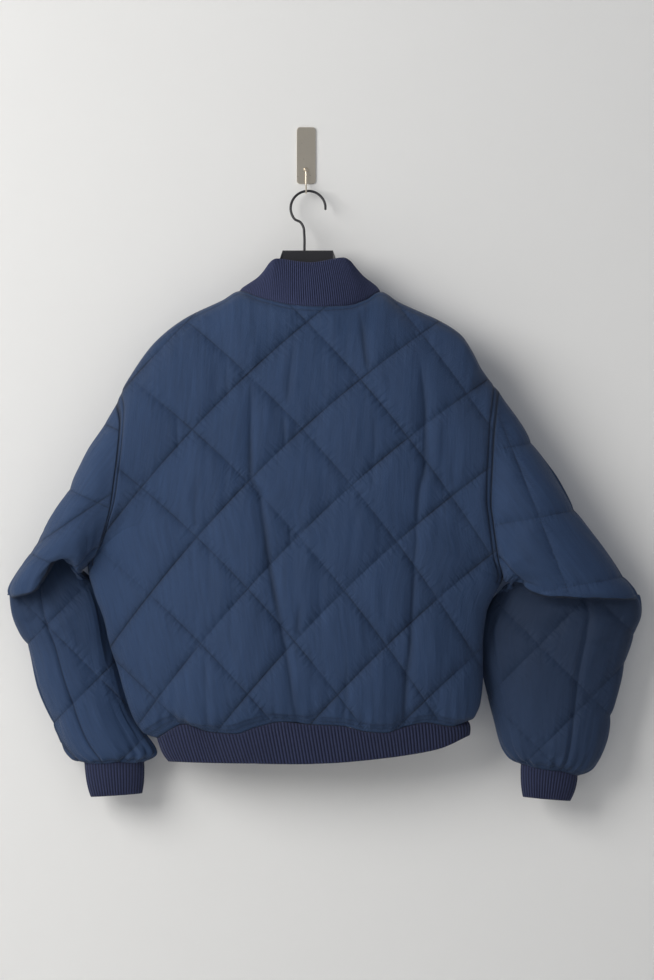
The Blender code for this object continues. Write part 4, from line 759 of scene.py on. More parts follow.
def even_turns(first, last, count):
    """Turns round the body that lie evenly on the cloth."""
    fine = np.linspace(0, math.pi, 2001)
    x, y = -BODY_HALF_WIDTH * np.cos(fine), 0.058 * np.sin(fine)
    length = np.concatenate([[0], np.cumsum(np.hypot(np.diff(x), np.diff(y)))])
    lo, hi = np.interp([first, last], fine, length)
    return np.interp(np.linspace(lo, hi, count), length, fine)


# ------------------------------------------------------------------ sewing
def stitches(name, rows, look, finish, length=0.0030, space=0.0013):
    """Threads laid end to end along rows of (places, ways out)."""
    points, faces = [], []
    shape = np.array([(-.5, 0, 0), (0, .5, .15), (.5, 0, 0), (0, -.5, .15), (0, 0, 1.0), (0, 0, -.6)])
    tris = np.array([(0, 3, 4), (3, 2, 4), (2, 1, 4), (1, 0, 4),
                     (3, 0, 5), (2, 3, 5), (1, 2, 5), (0, 1, 5)])
    for places, out in rows:
        if len(places) < 3:
            continue
        d = lengths(places)
        mids = np.arange(length, d[-1] - length * 0.5, length + space)
        if not len(mids):
            continue
        at, way = sampled(mids, d, places), sampled(mids, d, out)
        t = unit(sampled(mids + length / 2, d, places) - sampled(mids - length / 2, d, places))
        way = unit(way - t * (way * t).sum(1, keepdims=True))
        b = np.cross(way, t)
        pts = (at[:, None] + t[:, None] * shape[None, :, :1] * length
               + b[:, None] * shape[None, :, 1:2] * look.thread * 1.2
               + way[:, None] * shape[None, :, 2:] * look.thread * 0.8)
        start = sum(len(q) for q in points)
        points.append(pts.reshape(-1, 3))
        faces.append((start + np.arange(len(at))[:, None, None] * 6 + tris[None]).reshape(-1, 3))
    return new_piece(name, np.concatenate(points), np.concatenate(faces), finish, 180.0)


def skin_rows(skin, lines):
    """Rows of places and ways out where lines in cloth coordinates have no break."""
    rows = []
    for line in lines:
        good = ~np.isnan(line[:, 0])
        starts = np.flatnonzero(good & ~np.concatenate([[False], good[:-1]]))
        ends = np.flatnonzero(good & ~np.concatenate([good[1:], [False]]))
        for a, b in zip(starts, ends):
            if b - a > 2:
                rows.append(skin(line[a:b + 1]))
    return rows


def cloth_row(skin, across, along):
    """Places and ways out along one line of cloth coordinates; either of them may be one number."""
    return skin(np.stack(np.broadcast_arrays(across, along), 1))


def quilt_stitch_lines(front):
    """Quilt lines of back or front in cloth coordinates, broken where no thread runs."""
    lines = []
    for family in (0, 1):
        for number in range(-2, 7):
            run = np.arange(-3, 7.01, 0.03)
            cell = np.stack([np.full_like(run, number), run] if family == 0 else
                            [run, np.full_like(run, number)], 1)
            spot = place_of(cell)
            line = cloth_place(spot[:, 0], spot[:, 1], front)
            line[armhole_distance(line) < 0.002] = np.nan
            if front:
                from_zip = np.abs(line[:, 0] / TURN_SIZE - math.pi / 2)
                line[from_zip < ZIP_HALF_GAP / BODY_HALF_WIDTH + 0.012] = np.nan
            lines.append(line)
    return lines


def hanging_stitch_rows(skin, side):
    """Rows of places and ways out along the sleeve's straight quilt lines, on its back and front."""
    end, middle = SLEEVE[side][1], ELBOW_MIDDLE[side]
    s, t = np.meshgrid(np.linspace(0, 2 * math.pi, 200)[:-1] * SLEEVE_RADIUS,
                       np.linspace(0.010, end - 0.010, 230))
    p = np.stack([s.ravel(), t.ravel()], 1)
    place, out = skin(p)
    rows = []
    for low in (False, True):
        families = QUILT_ON_SLEEVE[side][int(low)]
        for face in (-1, 1):
            half = p[:, 1] > middle + 0.012 if low else p[:, 1] < middle - 0.010
            mine = (face * out[:, 1] > 0.3) & half
            at, way = place[mine], out[mine]
            across, down = at[:, 0] / SCALE + PLATE_ACROSS, PLATE_DOWN - at[:, 2] / SCALE
            for a, b, start in families:
                number = a * across + b * down - start
                size = math.hypot(a, b)
                for k in range(math.floor(number.min()) + 1, math.ceil(number.max())):
                    near = np.abs(number - k) / size < 3.0
                    if near.sum() < 12:
                        continue
                    run = (b * across - a * down)[near] / size
                    order = np.argsort(run)
                    run = run[order]
                    q, w = at[near][order], way[near][order]
                    steps = np.arange(run[0] + 2, run[-1] - 2, 1.5)
                    x0, z0 = a * (k + start) / size ** 2, b * (k + start) / size ** 2
                    x = metres_x(x0 + b / size * steps)
                    z = metres_z(z0 - a / size * steps)
                    gap = (q[None, :, 0] - x[:, None]) ** 2 + (q[None, :, 2] - z[:, None]) ** 2
                    best = gap.argmin(1)
                    n = w[best]
                    beside = n[:, 0] * (x - q[best, 0]) + n[:, 2] * (z - q[best, 2])
                    y = q[best, 1] - beside / n[:, 1]
                    good = gap.min(1) < 0.0035 ** 2
                    line = np.stack([x, y, z], 1)
                    cuts = np.flatnonzero(~good)
                    for piece in np.split(np.arange(len(x)), cuts):
                        piece = piece[good[piece]]
                        if len(piece) > 3:
                            rows.append((line[piece], n[piece]))
    return rows


# ------------------------------------------------------------------ ribs
def rib_wave(share, ribs):
    """Round-backed ribs with narrow furrows, 0..1."""
    t = share * ribs % 1.0
    return np.clip(np.sin(math.pi * t), 0, 1) ** 0.55


def ribbed_band(name, top, inside_top, out, far, ribs, closed, finish, bulge, rows, limp, seed):
    """Double knitted band from its seam to its folded far edge, ribs on both faces."""
    d = lengths(top)
    if closed:
        d = np.append(d, d[-1] + np.linalg.norm(top[0] - top[-1]))
        top, inside_top, out, far = [np.concatenate([a, a[:1]]) for a in (top, inside_top, out, far)]
    share = np.linspace(0, 1, ribs * RIB_POINTS + 1)
    if closed:
        share = share[:-1]
    top, inside_top, out, far = [sampled(share * d[-1], d, a) for a in (top, inside_top, out, far)]
    tangent = np.roll(far, -1, 0) - np.roll(far, 1, 0)
    if not closed:
        tangent[0], tangent[-1] = far[1] - far[0], far[-1] - far[-2]
    down = far - top
    height = np.linalg.norm(down, axis=1, keepdims=True)
    flat = unit(np.cross(tangent, down))
    flat *= np.sign((flat * out).sum(1, keepdims=True))
    wave = rib_wave(share, ribs)[:, None]
    wander = noise(share * ribs / 9, 0 * share, seed)[:, None]
    girth = share * d[-1]
    loops = []
    for k in range(rows + 1):
        t = k / rows
        soft = limp * noise(girth / 0.045, t * 1.4 + 0 * girth, seed + 4)[:, None] * math.sin(math.pi * t)
        lean = out * (1 - t) + flat * t
        lift = bulge * math.sin(math.pi * t) + RIB_RELIEF * 1.15 * wave * min(1.0, 0.25 + t * 6)
        uneven = 0.0004 * wander * down / height * math.sin(math.pi * t)
        loops.append(top + down * t + lean * lift + lean * soft + uneven)
    radius = RIB_WALL * 0.55
    for a in (45, 90, 135):
        c, s = math.cos(math.radians(a)), math.sin(math.radians(a))
        loops.append(far + flat * (RIB_RELIEF * wave * c - radius * (1 - c) * 0.9)
                     + down / height * radius * s * 0.55)
    for k in range(6, -1, -1):
        t = k / 6
        lean = out * (1 - t) + flat * t
        back = far * t + inside_top * (1 - t) - flat * RIB_WALL * t
        furrow = RIB_RELIEF * 0.4 * wave * min(1.0, t * 4)
        loops.append(back + lean * (bulge * math.sin(math.pi * t) - furrow))
    grid = np.stack(loops)
    count, cols = grid.shape[0], grid.shape[1]
    quads = list(grid_faces(count, cols, closed))
    c = np.arange(cols if closed else cols - 1)
    a, b = c, (c + 1) % cols
    quads += list(np.stack([(count - 1) * cols + a, (count - 1) * cols + b, b, a], -1))
    if not closed:
        quads += [list(np.arange(count) * cols)[::-1], list(np.arange(count) * cols + cols - 1)]
    s = np.tile(girth, count)
    steps = np.linalg.norm(np.diff(grid, axis=0), axis=2).mean(1)
    t = np.repeat(np.concatenate([[0], np.cumsum(steps)]), cols)
    numbers = np.stack([np.tile(share * ribs, count), t], 1)
    uv = np.stack([s, t], 1)
    return facing_out(new_piece(name, grid.reshape(-1, 3), quads, finish, 180.0, uv, numbers))


def seam_loop(which):
    """Hem or neck seam from the front left edge round the back to the front right edge."""
    split = ZIP_HALF_GAP / BODY_HALF_WIDTH
    low, high = (0, math.pi) if which == "hem" else [math.acos(1 - 2 * u) for u in NECK_U]
    half = math.pi / 2
    parts = [(np.linspace(half - split, low, 160), True), (np.linspace(low, high, 321)[1:-1], False),
             (np.linspace(high, half + split, 160), True)]
    turns, fronts, places = [], [], []
    for turn, front in parts:
        v = np.zeros_like(turn) if which == "hem" else np.ones_like(turn)
        turns.append(turn)
        fronts.append(np.full(len(turn), front))
        places.append(body(turn, v, front))
    turn, front, place = np.concatenate(turns), np.concatenate(fronts), np.concatenate(places)
    if which == "neck":
        away = place - [metres_x(310), 0, 0]
        away[:, 1] = (place[:, 1] - middle_y(place[:, 2])) * 2
        away[:, 2] = 0
        away = unit(away) + [0, 0, 0.8]
    else:
        away = np.stack([-np.cos(turn) * 0.25, np.where(front, 1.0, -1.0) * np.sin(turn), 0 * turn], 1)
    return turn, front, place, unit(away)


# ------------------------------------------------------------------ hard pieces
def smooth_path(path, radii, count):
    """Even points along a smooth curve through a path, with their radii."""
    path, radii = np.array(path, float), np.array(radii, float)
    d = lengths(path)
    fine = np.linspace(0, d[-1], count)
    m = np.gradient(path, d, axis=0)
    i = np.clip(np.searchsorted(d, fine) - 1, 0, len(d) - 2)
    h = (d[i + 1] - d[i])[:, None]
    t = ((fine - d[i])[:, None]) / h
    pts = (path[i] * (1 + 2 * t) * (1 - t) ** 2 + m[i] * h * t * (1 - t) ** 2
           + path[i + 1] * t * t * (3 - 2 * t) + m[i + 1] * h * t * t * (t - 1))
    return pts, np.interp(fine, d, radii)


def round_bar(name, path, radii, count, finish, sides=28):
    """Round bar with domed ends along a smooth path."""
    pts, r = smooth_path(path, radii, count)
    for end, k in ((0, 1), (-1, -1)):
        t = pts[end] - pts[end + k]
        t /= np.linalg.norm(t)
        caps = [(pts[end] + t * r[end] * f * 0.55, r[end] * g)
                for f, g in ((0.45, 0.93), (0.8, 0.68), (0.97, 0.3))]
        new_p, new_r = np.array([c[0] for c in caps]), np.array([c[1] for c in caps])
        if end == 0:
            pts, r = np.concatenate([new_p[::-1], pts]), np.concatenate([new_r[::-1], r])
        else:
            pts, r = np.concatenate([pts, new_p]), np.concatenate([r, new_r])
    t = unit(np.gradient(pts, axis=0))
    normal = np.cross(t[0], [1, 0, 0] if abs(t[0][0]) < 0.9 else [0, 1, 0])
    rings = []
    a = np.linspace(0, 2 * math.pi, sides, endpoint=False)[:, None]
    for p, way, size in zip(pts, t, r):
        normal = normal - way * normal.dot(way)
        normal /= np.linalg.norm(normal)
        b = np.cross(way, normal)
        rings.append(p + size * (normal * np.cos(a) + b * np.sin(a)))
    grid = np.stack(rings)
    faces = list(grid_faces(len(pts), sides, True))
    faces += [list(range(sides))[::-1], list(range((len(pts) - 1) * sides, len(pts) * sides))]
    s, u = np.meshgrid(np.arange(sides) / sides * 0.01, np.arange(len(pts)) * 0.001)
    uv = np.stack([s.ravel(), u.ravel()], 1)
    return facing_out(new_piece(name, grid.reshape(-1, 3), faces, finish, 60.0, uv))


# ------------------------------------------------------------------ finishes
def feed(tree, socket, value):
    """Sets an input to a value, or links an output to it."""
    if isinstance(value, bpy.types.NodeSocket):
        tree.links.new(value, socket)
    else:
        socket.default_value = value


def node(tree, kind, feeds=None, **settings):
    """New node with its settings; feeds are the values or outputs for its inputs."""
    made = tree.nodes.new(kind)
    for key, value in settings.items():
        setattr(made, key, value)
    for key, value in (feeds or {}).items():
        feed(tree, made.inputs[key], value)
    return made


def maths(tree, what, *values):
    return node(tree, "ShaderNodeMath", dict(enumerate(values)), operation=what).outputs[0]


def times(tree, a, b):
    return maths(tree, "MULTIPLY", a, b)


def plus(tree, a, b):
    return maths(tree, "ADD", a, b)


def minus(tree, a, b):
    return maths(tree, "SUBTRACT", a, b)


def most(tree, a, b):
    return maths(tree, "MAXIMUM", a, b)


def least(tree, a, b):
    return maths(tree, "MINIMUM", a, b)


def falling(tree, distance, reach):
    """1 where the distance is 0, falling off sharply at first."""
    return maths(tree, "POWER", math.e, times(tree, distance, -1 / reach))


def bell(tree, value, width):
    """1 where the value is 0, falling off over the width."""
    t = times(tree, value, 1 / width)
    return maths(tree, "POWER", math.e, times(tree, times(tree, t, t), -1.0))


def from_whole(tree, number):
    """How far a number is from the nearest whole number, -0.5..0.5."""
    return maths(tree, "WRAP", number, 0.5, -0.5)


def parts(tree, vector):
    return node(tree, "ShaderNodeSeparateXYZ", {0: vector}).outputs


def own_map(tree, name):
    return node(tree, "ShaderNodeUVMap", uv_map=name).outputs["UV"]


def place_in_frame(tree):
    return node(tree, "ShaderNodeTexCoord").outputs["Object"]


def uneven(tree, vector, scale, detail, dims="3D", rough=0.5):
    """Noise of 0..1."""
    return node(tree, "ShaderNodeTexNoise", {"Vector": vector, "Scale": scale, "Detail": detail,
                                             "Roughness": rough}, noise_dimensions=dims).outputs["Fac"]


def shared_group(name, inputs, outputs, fill):
    """Node group of number sockets, built once; fill gives the sources of its outputs."""
    group = bpy.data.node_groups.get(name)
    if group is None:
        group = bpy.data.node_groups.new(name, "ShaderNodeTree")
        for label, value in inputs.items():
            group.interface.new_socket(
                name=label, in_out="INPUT", socket_type="NodeSocketFloat").default_value = value
        for label in outputs:
            group.interface.new_socket(name=label, in_out="OUTPUT", socket_type="NodeSocketFloat")
        start = node(group, "NodeGroupInput").outputs
        node(group, "NodeGroupOutput", dict(zip(outputs, fill(group, start))))
    return group


def group_node(tree, group, feeds=None):
    return node(tree, "ShaderNodeGroup", feeds, node_tree=group)


def weave_group():
    """Fine plain weave over the cloth's own coordinates, in threads per metre."""
    def fill(group, start):
        scaled = node(group, "ShaderNodeVectorMath", {0: own_map(group, "cloth"), "Scale": start["Threads"]},
                      operation="SCALE").outputs[0]
        warp, weft = [maths(group, "ABSOLUTE", maths(group, "SINE", times(group, part, math.pi)))
                      for part in list(parts(group, scaled))[:2]]
        both = times(group, warp, weft)
        slub = times(group, minus(group, uneven(group, scaled, 0.35, 3.0, "2D"), 0.5), start["Slub"])
        return (plus(group, both, slub),
                plus(group, times(group, both, 0.35), plus(group, slub, 0.6)))
    return shared_group("plain weave", {"Threads": 1500.0, "Slub": 0.3}, ("Height", "Shade"), fill)


def body_cells_group():
    """Cell numbers of the body's quilting from the place in the frame."""
    def fill(group, start):
        place = parts(group, place_in_frame(group))
        x = times(group, place[0], 1 / SCALE / FIT_UNIT)
        z = plus(group, times(group, place[2], -1 / SCALE / FIT_UNIT), (PLATE_DOWN - FIT_DOWN) / FIT_UNIT)
        terms = (x, z, times(group, x, x), times(group, x, z), times(group, z, z))
        totals = []
        for k in (0, 1):
            total = float(FIT[0, k])
            for term, factor in zip(terms, FIT[1:, k]):
                total = plus(group, times(group, term, float(factor)), total)
            totals.append(total)
        return totals
    return shared_group("body quilting", {}, ("A", "B"), fill)


def sleeve_cells_group(side):
    """Cell numbers of a sleeve's quilting where it hangs, and the painted shade at and below its elbow fold,
    on the side toward the room.
    """
    def fill(group, start):
        place, own = parts(group, place_in_frame(group)), parts(group, own_map(group, "cloth"))
        across = plus(group, times(group, place[0], 1 / SCALE), PLATE_ACROSS)
        down = plus(group, times(group, place[2], -1 / SCALE), PLATE_DOWN)
        past = minus(group, own[1], ELBOW_MIDDLE[side])
        low = maths(group, "GREATER_THAN", past, 0.0)
        numbers = []
        for families in zip(*QUILT_ON_SLEEVE[side]):
            above, below = [plus(group, plus(group, times(group, across, a), times(group, down, b)), -c)
                            for a, b, c in families]
            numbers.append(plus(group, above, times(group, minus(group, below, above), low)))
        turn = maths(group, "SINE", times(group, own[0], 1 / SLEEVE_RADIUS))
        facing = least(group, most(group, times(group, turn, 3.0), 0.0), 1.0)
        # Painted shade: a thin dark line along the fold lip and a broad darkening below it, on the side
        # toward the room only.
        reach, depth = PAINTED_FOLD_SHADE[side]
        wide = times(group, falling(group, maths(group, "ABSOLUTE", past), reach), times(group, low, depth))
        return (*numbers, times(group, most(group, bell(group, past, 0.0028), wide), facing))
    return shared_group(side + " sleeve quilting", {}, ("A", "B", "Fold Shade"), fill)


def furrow_group():
    """Stitch furrows with their puckers where a cell number is whole, each a thin dark stitch line with a
    broad painted shade around it.
    """
    def fill(group, start):
        masks, heights = [], []
        for own, other, scale in (("A", "B", 11.0), ("B", "A", 13.0)):
            d = times(group, maths(group, "ABSOLUTE", from_whole(group, start[own])), QUILT_PITCH)
            strong = minus(group, uneven(group, place_in_frame(group), scale, 1.0), 0.5)
            strong = plus(group, times(group, strong, 3.0), 0.68)
            strong = least(group, most(group, strong, 0.22), 1.0)
            strong = times(group, strong, start[own + " Depth"])
            # A thin dark line at the stitch, and a broad painted shade around the furrow.
            line = times(group, bell(group, d, 0.0013), 0.85)
            wide = times(group, falling(group, d, 0.0050), 0.42)
            masks.append(times(group, most(group, line, wide), strong))
            along = node(group, "ShaderNodeCombineXYZ", {
                0: times(group, start[other], 24.0), 1: times(group, start[own], 5.0)}).outputs[0]
            pucker = minus(group, uneven(group, along, 1.0, 2.0, "2D"), 0.5)
            heights.append(times(group, pucker, falling(group, d, 0.010)))
        seam_and_shade_mask = most(group, *masks)
        return seam_and_shade_mask, minus(group, times(group, plus(group, *heights), 2.0), seam_and_shade_mask)
    return shared_group("stitch furrows", {"A": 0.0, "B": 0.0, "A Depth": 1.0, "B Depth": 1.0},
                        ("Mask", "Height"), fill)


def seam_lines_group():
    """Dark lines at seams and their topstitching, from the seam distances of the cloth."""
    def fill(group, start):
        apart = parts(group, own_map(group, "seams"))
        beside = times(group, bell(group, minus(group, apart[0], 0.0062), 0.0011), 0.85)
        other = times(group, bell(group, apart[1], 0.0011), 0.75)
        return (most(group, most(group, bell(group, apart[0], 0.0016), beside), other),)
    return shared_group("seam lines", {}, ("Mask",), fill)


def streaks_group():
    """Fine upright creases and slubs of the cloth over its own coordinates; in the colour they give slub tone
    and painted shade of the creases.
    """
    def fill(group, start):
        own = parts(group, own_map(group, "cloth"))
        stretched = node(group, "ShaderNodeCombineXYZ", {
            0: times(group, own[0], start["Across"]), 1: times(group, own[1], start["Along"])})
        return (uneven(group, stretched.outputs[0], 1.0, 4.0, "2D", 0.6),)
    return shared_group("upright streaks", {"Across": 210.0, "Along": 17.0}, ("Shade",), fill)


def fading_group():
    """Slow changes of shade over cloth, metal or plastic, and a little rubbing."""
    def fill(group, start):
        place = place_in_frame(group)
        broad = minus(group, uneven(group, place, start["Size"], 4.0), 0.5)
        fine = uneven(group, place, times(group, start["Size"], 14.0), 6.0)
        return plus(group, times(group, broad, start["Amount"]), 0.5), fine
    return shared_group("slow fading", {"Size": 8.0, "Amount": 0.2}, ("Shade", "Rub"), fill)


def mixed_colour(tree, share, first, second):
    """Colour between two colours or outputs."""
    first, second = [value if isinstance(value, bpy.types.NodeSocket) else (*value, 1)
                     for value in (first, second)]
    return node(tree, "ShaderNodeMix", {"Factor": share, "A": first, "B": second},
                data_type="RGBA").outputs["Result"]


def bumped(tree, height, distance, strength, under=None):
    """Normal bent by a height, over another normal where one is given."""
    feeds = {"Distance": distance, "Strength": strength, "Height": height}
    if under is not None:
        feeds["Normal"] = under
    return node(tree, "ShaderNodeBump", feeds).outputs["Normal"]


def finish_of(name, colour, rough, weave=None, threads=1500.0, slub=0.3, bump=0.0002, spread=0.25,
              size=8.0, metal=0.0, sheen=0.0, rough_spread=0.1, specular=0.5):
    """Procedural finish: slow fading, weave and rubbing over one colour."""
    if name in bpy.data.materials:
        bpy.data.materials.remove(bpy.data.materials[name])
    made = bpy.data.materials.new(name)
    made.use_nodes = True
    tree = made.node_tree
    fading = group_node(tree, fading_group(), {"Size": size, "Amount": spread})
    shade, rub = fading.outputs["Shade"], fading.outputs["Rub"]
    height = rub
    if weave:
        woven = group_node(tree, weave_group(), {"Threads": threads, "Slub": slub})
        shade = plus(tree, shade, times(tree, minus(tree, woven.outputs["Shade"], 0.7), weave))
        height = woven.outputs["Height"]
    darker, lighter = [c * 0.55 for c in colour], [min(1, c * 1.45) for c in colour]
    for key, value in {
            "Metallic": metal, "Sheen Weight": sheen, "Sheen Roughness": 0.45, "Specular IOR Level": specular,
            "Base Color": mixed_colour(tree, shade, darker, lighter),
            "Roughness": plus(tree, times(tree, minus(tree, rub, 0.5), rough_spread), rough),
            "Normal": bumped(tree, height, bump, 0.8)}.items():
        feed(tree, tree.nodes["Principled BSDF"].inputs[key], value)
    return made


def darkened(tree, colour, factor, seam_and_shade_mask):
    """Darkens the base colour of a finish toward a share of its plain colour, for painted shade and dark seam
    lines.
    """
    base = tree.nodes["Principled BSDF"].inputs["Base Color"]
    feed(tree, base, mixed_colour(tree, seam_and_shade_mask, base.links[0].from_socket, [c * factor for c in colour]))


def quilted_finish(name, look, cells_group, depths):
    """Navy cloth with its stitch furrows, seam lines and upright streaks, darkened by painted shade around
    the furrows, along the long folds and at the sleeves' elbow folds.
    """
    made = finish_of(name, tuple(look.cloth_colour), 0.62, 0.22, 1400.0, 0.35, 0.00022, 0.20, 7.0,
                     sheen=look.cloth_sheen, rough_spread=0.12, specular=0.20)
    tree = made.node_tree
    surface = tree.nodes["Principled BSDF"]
    where = group_node(tree, cells_group).outputs
    furrow = group_node(tree, furrow_group(), {
        "A": where["A"], "B": where["B"], "A Depth": depths[0], "B Depth": depths[1]}).outputs
    seams = group_node(tree, seam_lines_group()).outputs["Mask"]
    streaks = group_node(tree, streaks_group()).outputs["Shade"]
    share = surface.inputs["Base Color"].links[0].from_node.inputs["Factor"]
    # The upright streaks lighten and darken the colour: slub tone, and painted shade of the fine creases.
    feed(tree, share, plus(tree, share.links[0].from_socket, times(tree, minus(tree, streaks, 0.5), 0.42)))
    # Dark seam lines and the painted shade around the stitch furrows darken the colour.
    seam_and_shade_mask = most(tree, times(tree, seams, 0.9), furrow["Mask"])
    # The folds map darkens the colour with painted shade along the long folds' troughs.
    seam_and_shade_mask = most(tree, seam_and_shade_mask, times(tree, parts(tree, own_map(tree, "folds"))[0], 0.58))
    # Painted shade at and below the sleeve's elbow fold.
    if "Fold Shade" in where:
        seam_and_shade_mask = most(tree, seam_and_shade_mask, times(tree, where["Fold Shade"], 0.9))
    darkened(tree, look.cloth_colour, 0.26, seam_and_shade_mask)
    normal = None
    for height, distance, strength in ((streaks, 0.0009, 0.7), (furrow["Height"], 0.0010, 0.9),
                                       (times(tree, seams, -1.0), 0.0009, 0.8)):
        normal = bumped(tree, height, distance, strength, normal)
    feed(tree, surface.inputs["Normal"].links[0].from_node.inputs["Normal"], normal)
    return made


def brushed_steel(name, colour, rough):
    """Satin metal with fine lines up its height."""
    made = finish_of(name, colour, rough, spread=0.12, size=30.0, metal=1.0, bump=0.00002, rough_spread=0.12)
    tree = made.node_tree
    squeezed = node(tree, "ShaderNodeMapping", {
        "Vector": place_in_frame(tree), "Scale": (900.0, 900.0, 12.0)}).outputs["Vector"]
    bumps = tree.nodes["Principled BSDF"].inputs["Normal"].links[0].from_node
    feed(tree, bumps.inputs["Height"], uneven(tree, squeezed, 1.0, 2.0))
    return made


def cloth_finish(look):
    """Cloth of the body; the stitch lines that rise to the right are the deepest, with the darkest painted
    shade around them.
    """
    depths = [1.0 if FIT[1, k] * FIT[2, k] > 0 else 0.66 for k in (0, 1)]
    return quilted_finish("quilted navy cloth", look, body_cells_group(), depths)


def rib_finish(look, name="navy rib knit", colour=None):
    """Knit with painted shade in the furrows between its ribs, from the rib numbers of its own coordinates.
    """
    colour = tuple(colour or look.rib_colour)
    made = finish_of(name, colour, 0.85, 0.45, 900.0, 0.9, 0.00035, 0.25, 12.0,
                     sheen=look.cloth_sheen * 1.5, rough_spread=0.08, specular=0.2)
    tree = made.node_tree
    number = parts(tree, own_map(tree, "seams"))[0]
    # Painted shade in the furrows between the ribs.
    darkened(tree, colour, 0.22, times(tree, bell(tree, from_whole(tree, number), 0.24), 0.9))
    return made


# ------------------------------------------------------------------ settings a user would change
def size_setting(name, description, default):
    return bpy.props.FloatProperty(name=name, description=description, default=default, unit="LENGTH")


def colour_setting(name, description, default):
    return bpy.props.FloatVectorProperty(
        name=name, description=description, default=default, size=3, subtype="COLOR")


class JacketLook(bpy.types.PropertyGroup):
    """Sizes and colours of the jacket's looks."""
    puff: size_setting("Padding", "How far a quilted cell stands out", 0.0065)
    pucker: size_setting("Puckers", "Height of the puckers at a stitch line", 0.0007)
    wrinkle: size_setting("Wrinkles", "Height of the soft wrinkles", 0.0010)
    elbow_overhang: size_setting("Elbow fold", "How far the fold at the elbow hangs over", 0.008)
    thread: size_setting("Thread", "Thickness of the sewing thread", 0.00045)
    cloth_sheen: bpy.props.FloatProperty(
        name="Sheen", description="Soft shine at the turn of the cloth", default=0.05, subtype="FACTOR")
    cloth_colour: colour_setting("Cloth", "Colour of the quilted cloth", (0.0222, 0.0462, 0.1065))
    rib_colour: colour_setting("Ribs", "Colour of the rib knit", (0.0275, 0.035, 0.083))
    thread_colour: colour_setting("Thread", "Colour of the sewing thread", (0.010, 0.016, 0.038))
    hanger_colour: colour_setting("Hanger", "Colour of the hanger", (0.013, 0.013, 0.017))
    steel_colour: colour_setting("Steel", "Colour of the wall plate and hook", (0.66, 0.60, 0.50))
    wall_colour: colour_setting("Wall", "Colour of the wall and floor", (0.80, 0.795, 0.77))


def settings():
    return bpy.context.scene.jacket_look


def hung(piece, nodes):
    """Hangs a cloth piece on the jacket's body and hides the solids it stands for."""
    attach(piece, "jacket")
    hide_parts(*nodes)


def sewn(piece):
    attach(piece, "jacket")


def kept_solid(name, finish, width, segments, angle):
    """A solid of the frame that stays in view, with its finish and eased edges."""
    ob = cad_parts[name]
    ob.data.materials.clear()
    ob.data.materials.append(finish)
    soft = ob.modifiers.new("eased edges", "BEVEL")
    soft.width, soft.segments, soft.limit_method = width, segments, "ANGLE"
    soft.angle_limit = math.radians(angle)


class JacketPart:
    bl_options = {"REGISTER", "UNDO"}


class BuildBack(JacketPart, bpy.types.Operator):
    """Back of the body with its quilting, drape folds and sewing"""
    bl_idname = "jacket.back"
    bl_label = "Back"

    def execute(self, context):
        look = settings()
        skin = body_skin(False, look)
        ob = cloth_piece("back", skin, even_turns(0, math.pi, 313) * TURN_SIZE,
                         np.linspace(0, 1, 289) * TORSO_LENGTH, False, WALL, cloth_finish(look))
        thread = finish_of("navy thread", tuple(look.thread_colour), 0.7, spread=0.2, bump=0.00005)
        rows = skin_rows(skin, quilt_stitch_lines(False))
        turn = even_turns(0.03, math.pi - 0.03, 700) * TURN_SIZE
        rows += [cloth_row(skin, turn, up) for up in HEM_STITCHES]
        neck = np.linspace(*[math.acos(1 - 2 * u) for u in NECK_U], 300)
        rows.append(cloth_row(skin, neck * TURN_SIZE, (1 - 0.0125) * TORSO_LENGTH))
        for side in ("left", "right"):
            v = np.linspace(UNDERARM[side] + 0.02, 0.985, 260)
            u = 0.0045 / (right_x(v) - left_x(v))
            u = u if side == "left" else 1 - u
            rows.append(cloth_row(skin, np.arccos(1 - 2 * u) * TURN_SIZE, v * TORSO_LENGTH))
        sewing = stitches("back_sewing", rows, look, thread)
        hung(ob, ["back_panel"])
        sewn(sewing)
        return {"FINISHED"}


class BuildFronts(JacketPart, bpy.types.Operator):
    """Two fronts, closed by the zip on the side toward the wall"""
    bl_idname = "jacket.fronts"
    bl_label = "Fronts"

    def execute(self, context):
        look = settings()
        skin = body_skin(True, look)
        thread = bpy.data.materials["navy thread"]
        split = ZIP_HALF_GAP / BODY_HALF_WIDTH
        rows = skin_rows(skin, quilt_stitch_lines(True))
        cloth = bpy.data.materials["quilted navy cloth"]
        half = math.pi / 2
        for name, first, last in (("left", 0.0, half - split), ("right", half + split, math.pi)):
            ob = cloth_piece("front_" + name + "_cloth", skin, even_turns(first, last, 129) * TURN_SIZE,
                             np.linspace(0, 1, 233) * TORSO_LENGTH, False, WALL, cloth)
            hung(ob, ["front_" + name])
            edge = half + (-1 if name == "left" else 1) * (split + 0.0065 / BODY_HALF_WIDTH)
            rows.append(cloth_row(skin, edge * TURN_SIZE, np.linspace(0.004, 0.99, 400) * TORSO_LENGTH))
            turn = even_turns(first + 0.03, last - 0.03, 320) * TURN_SIZE
            rows += [cloth_row(skin, turn, up) for up in HEM_STITCHES]
        sewn(stitches("front_sewing", rows, look, thread))
        return {"FINISHED"}


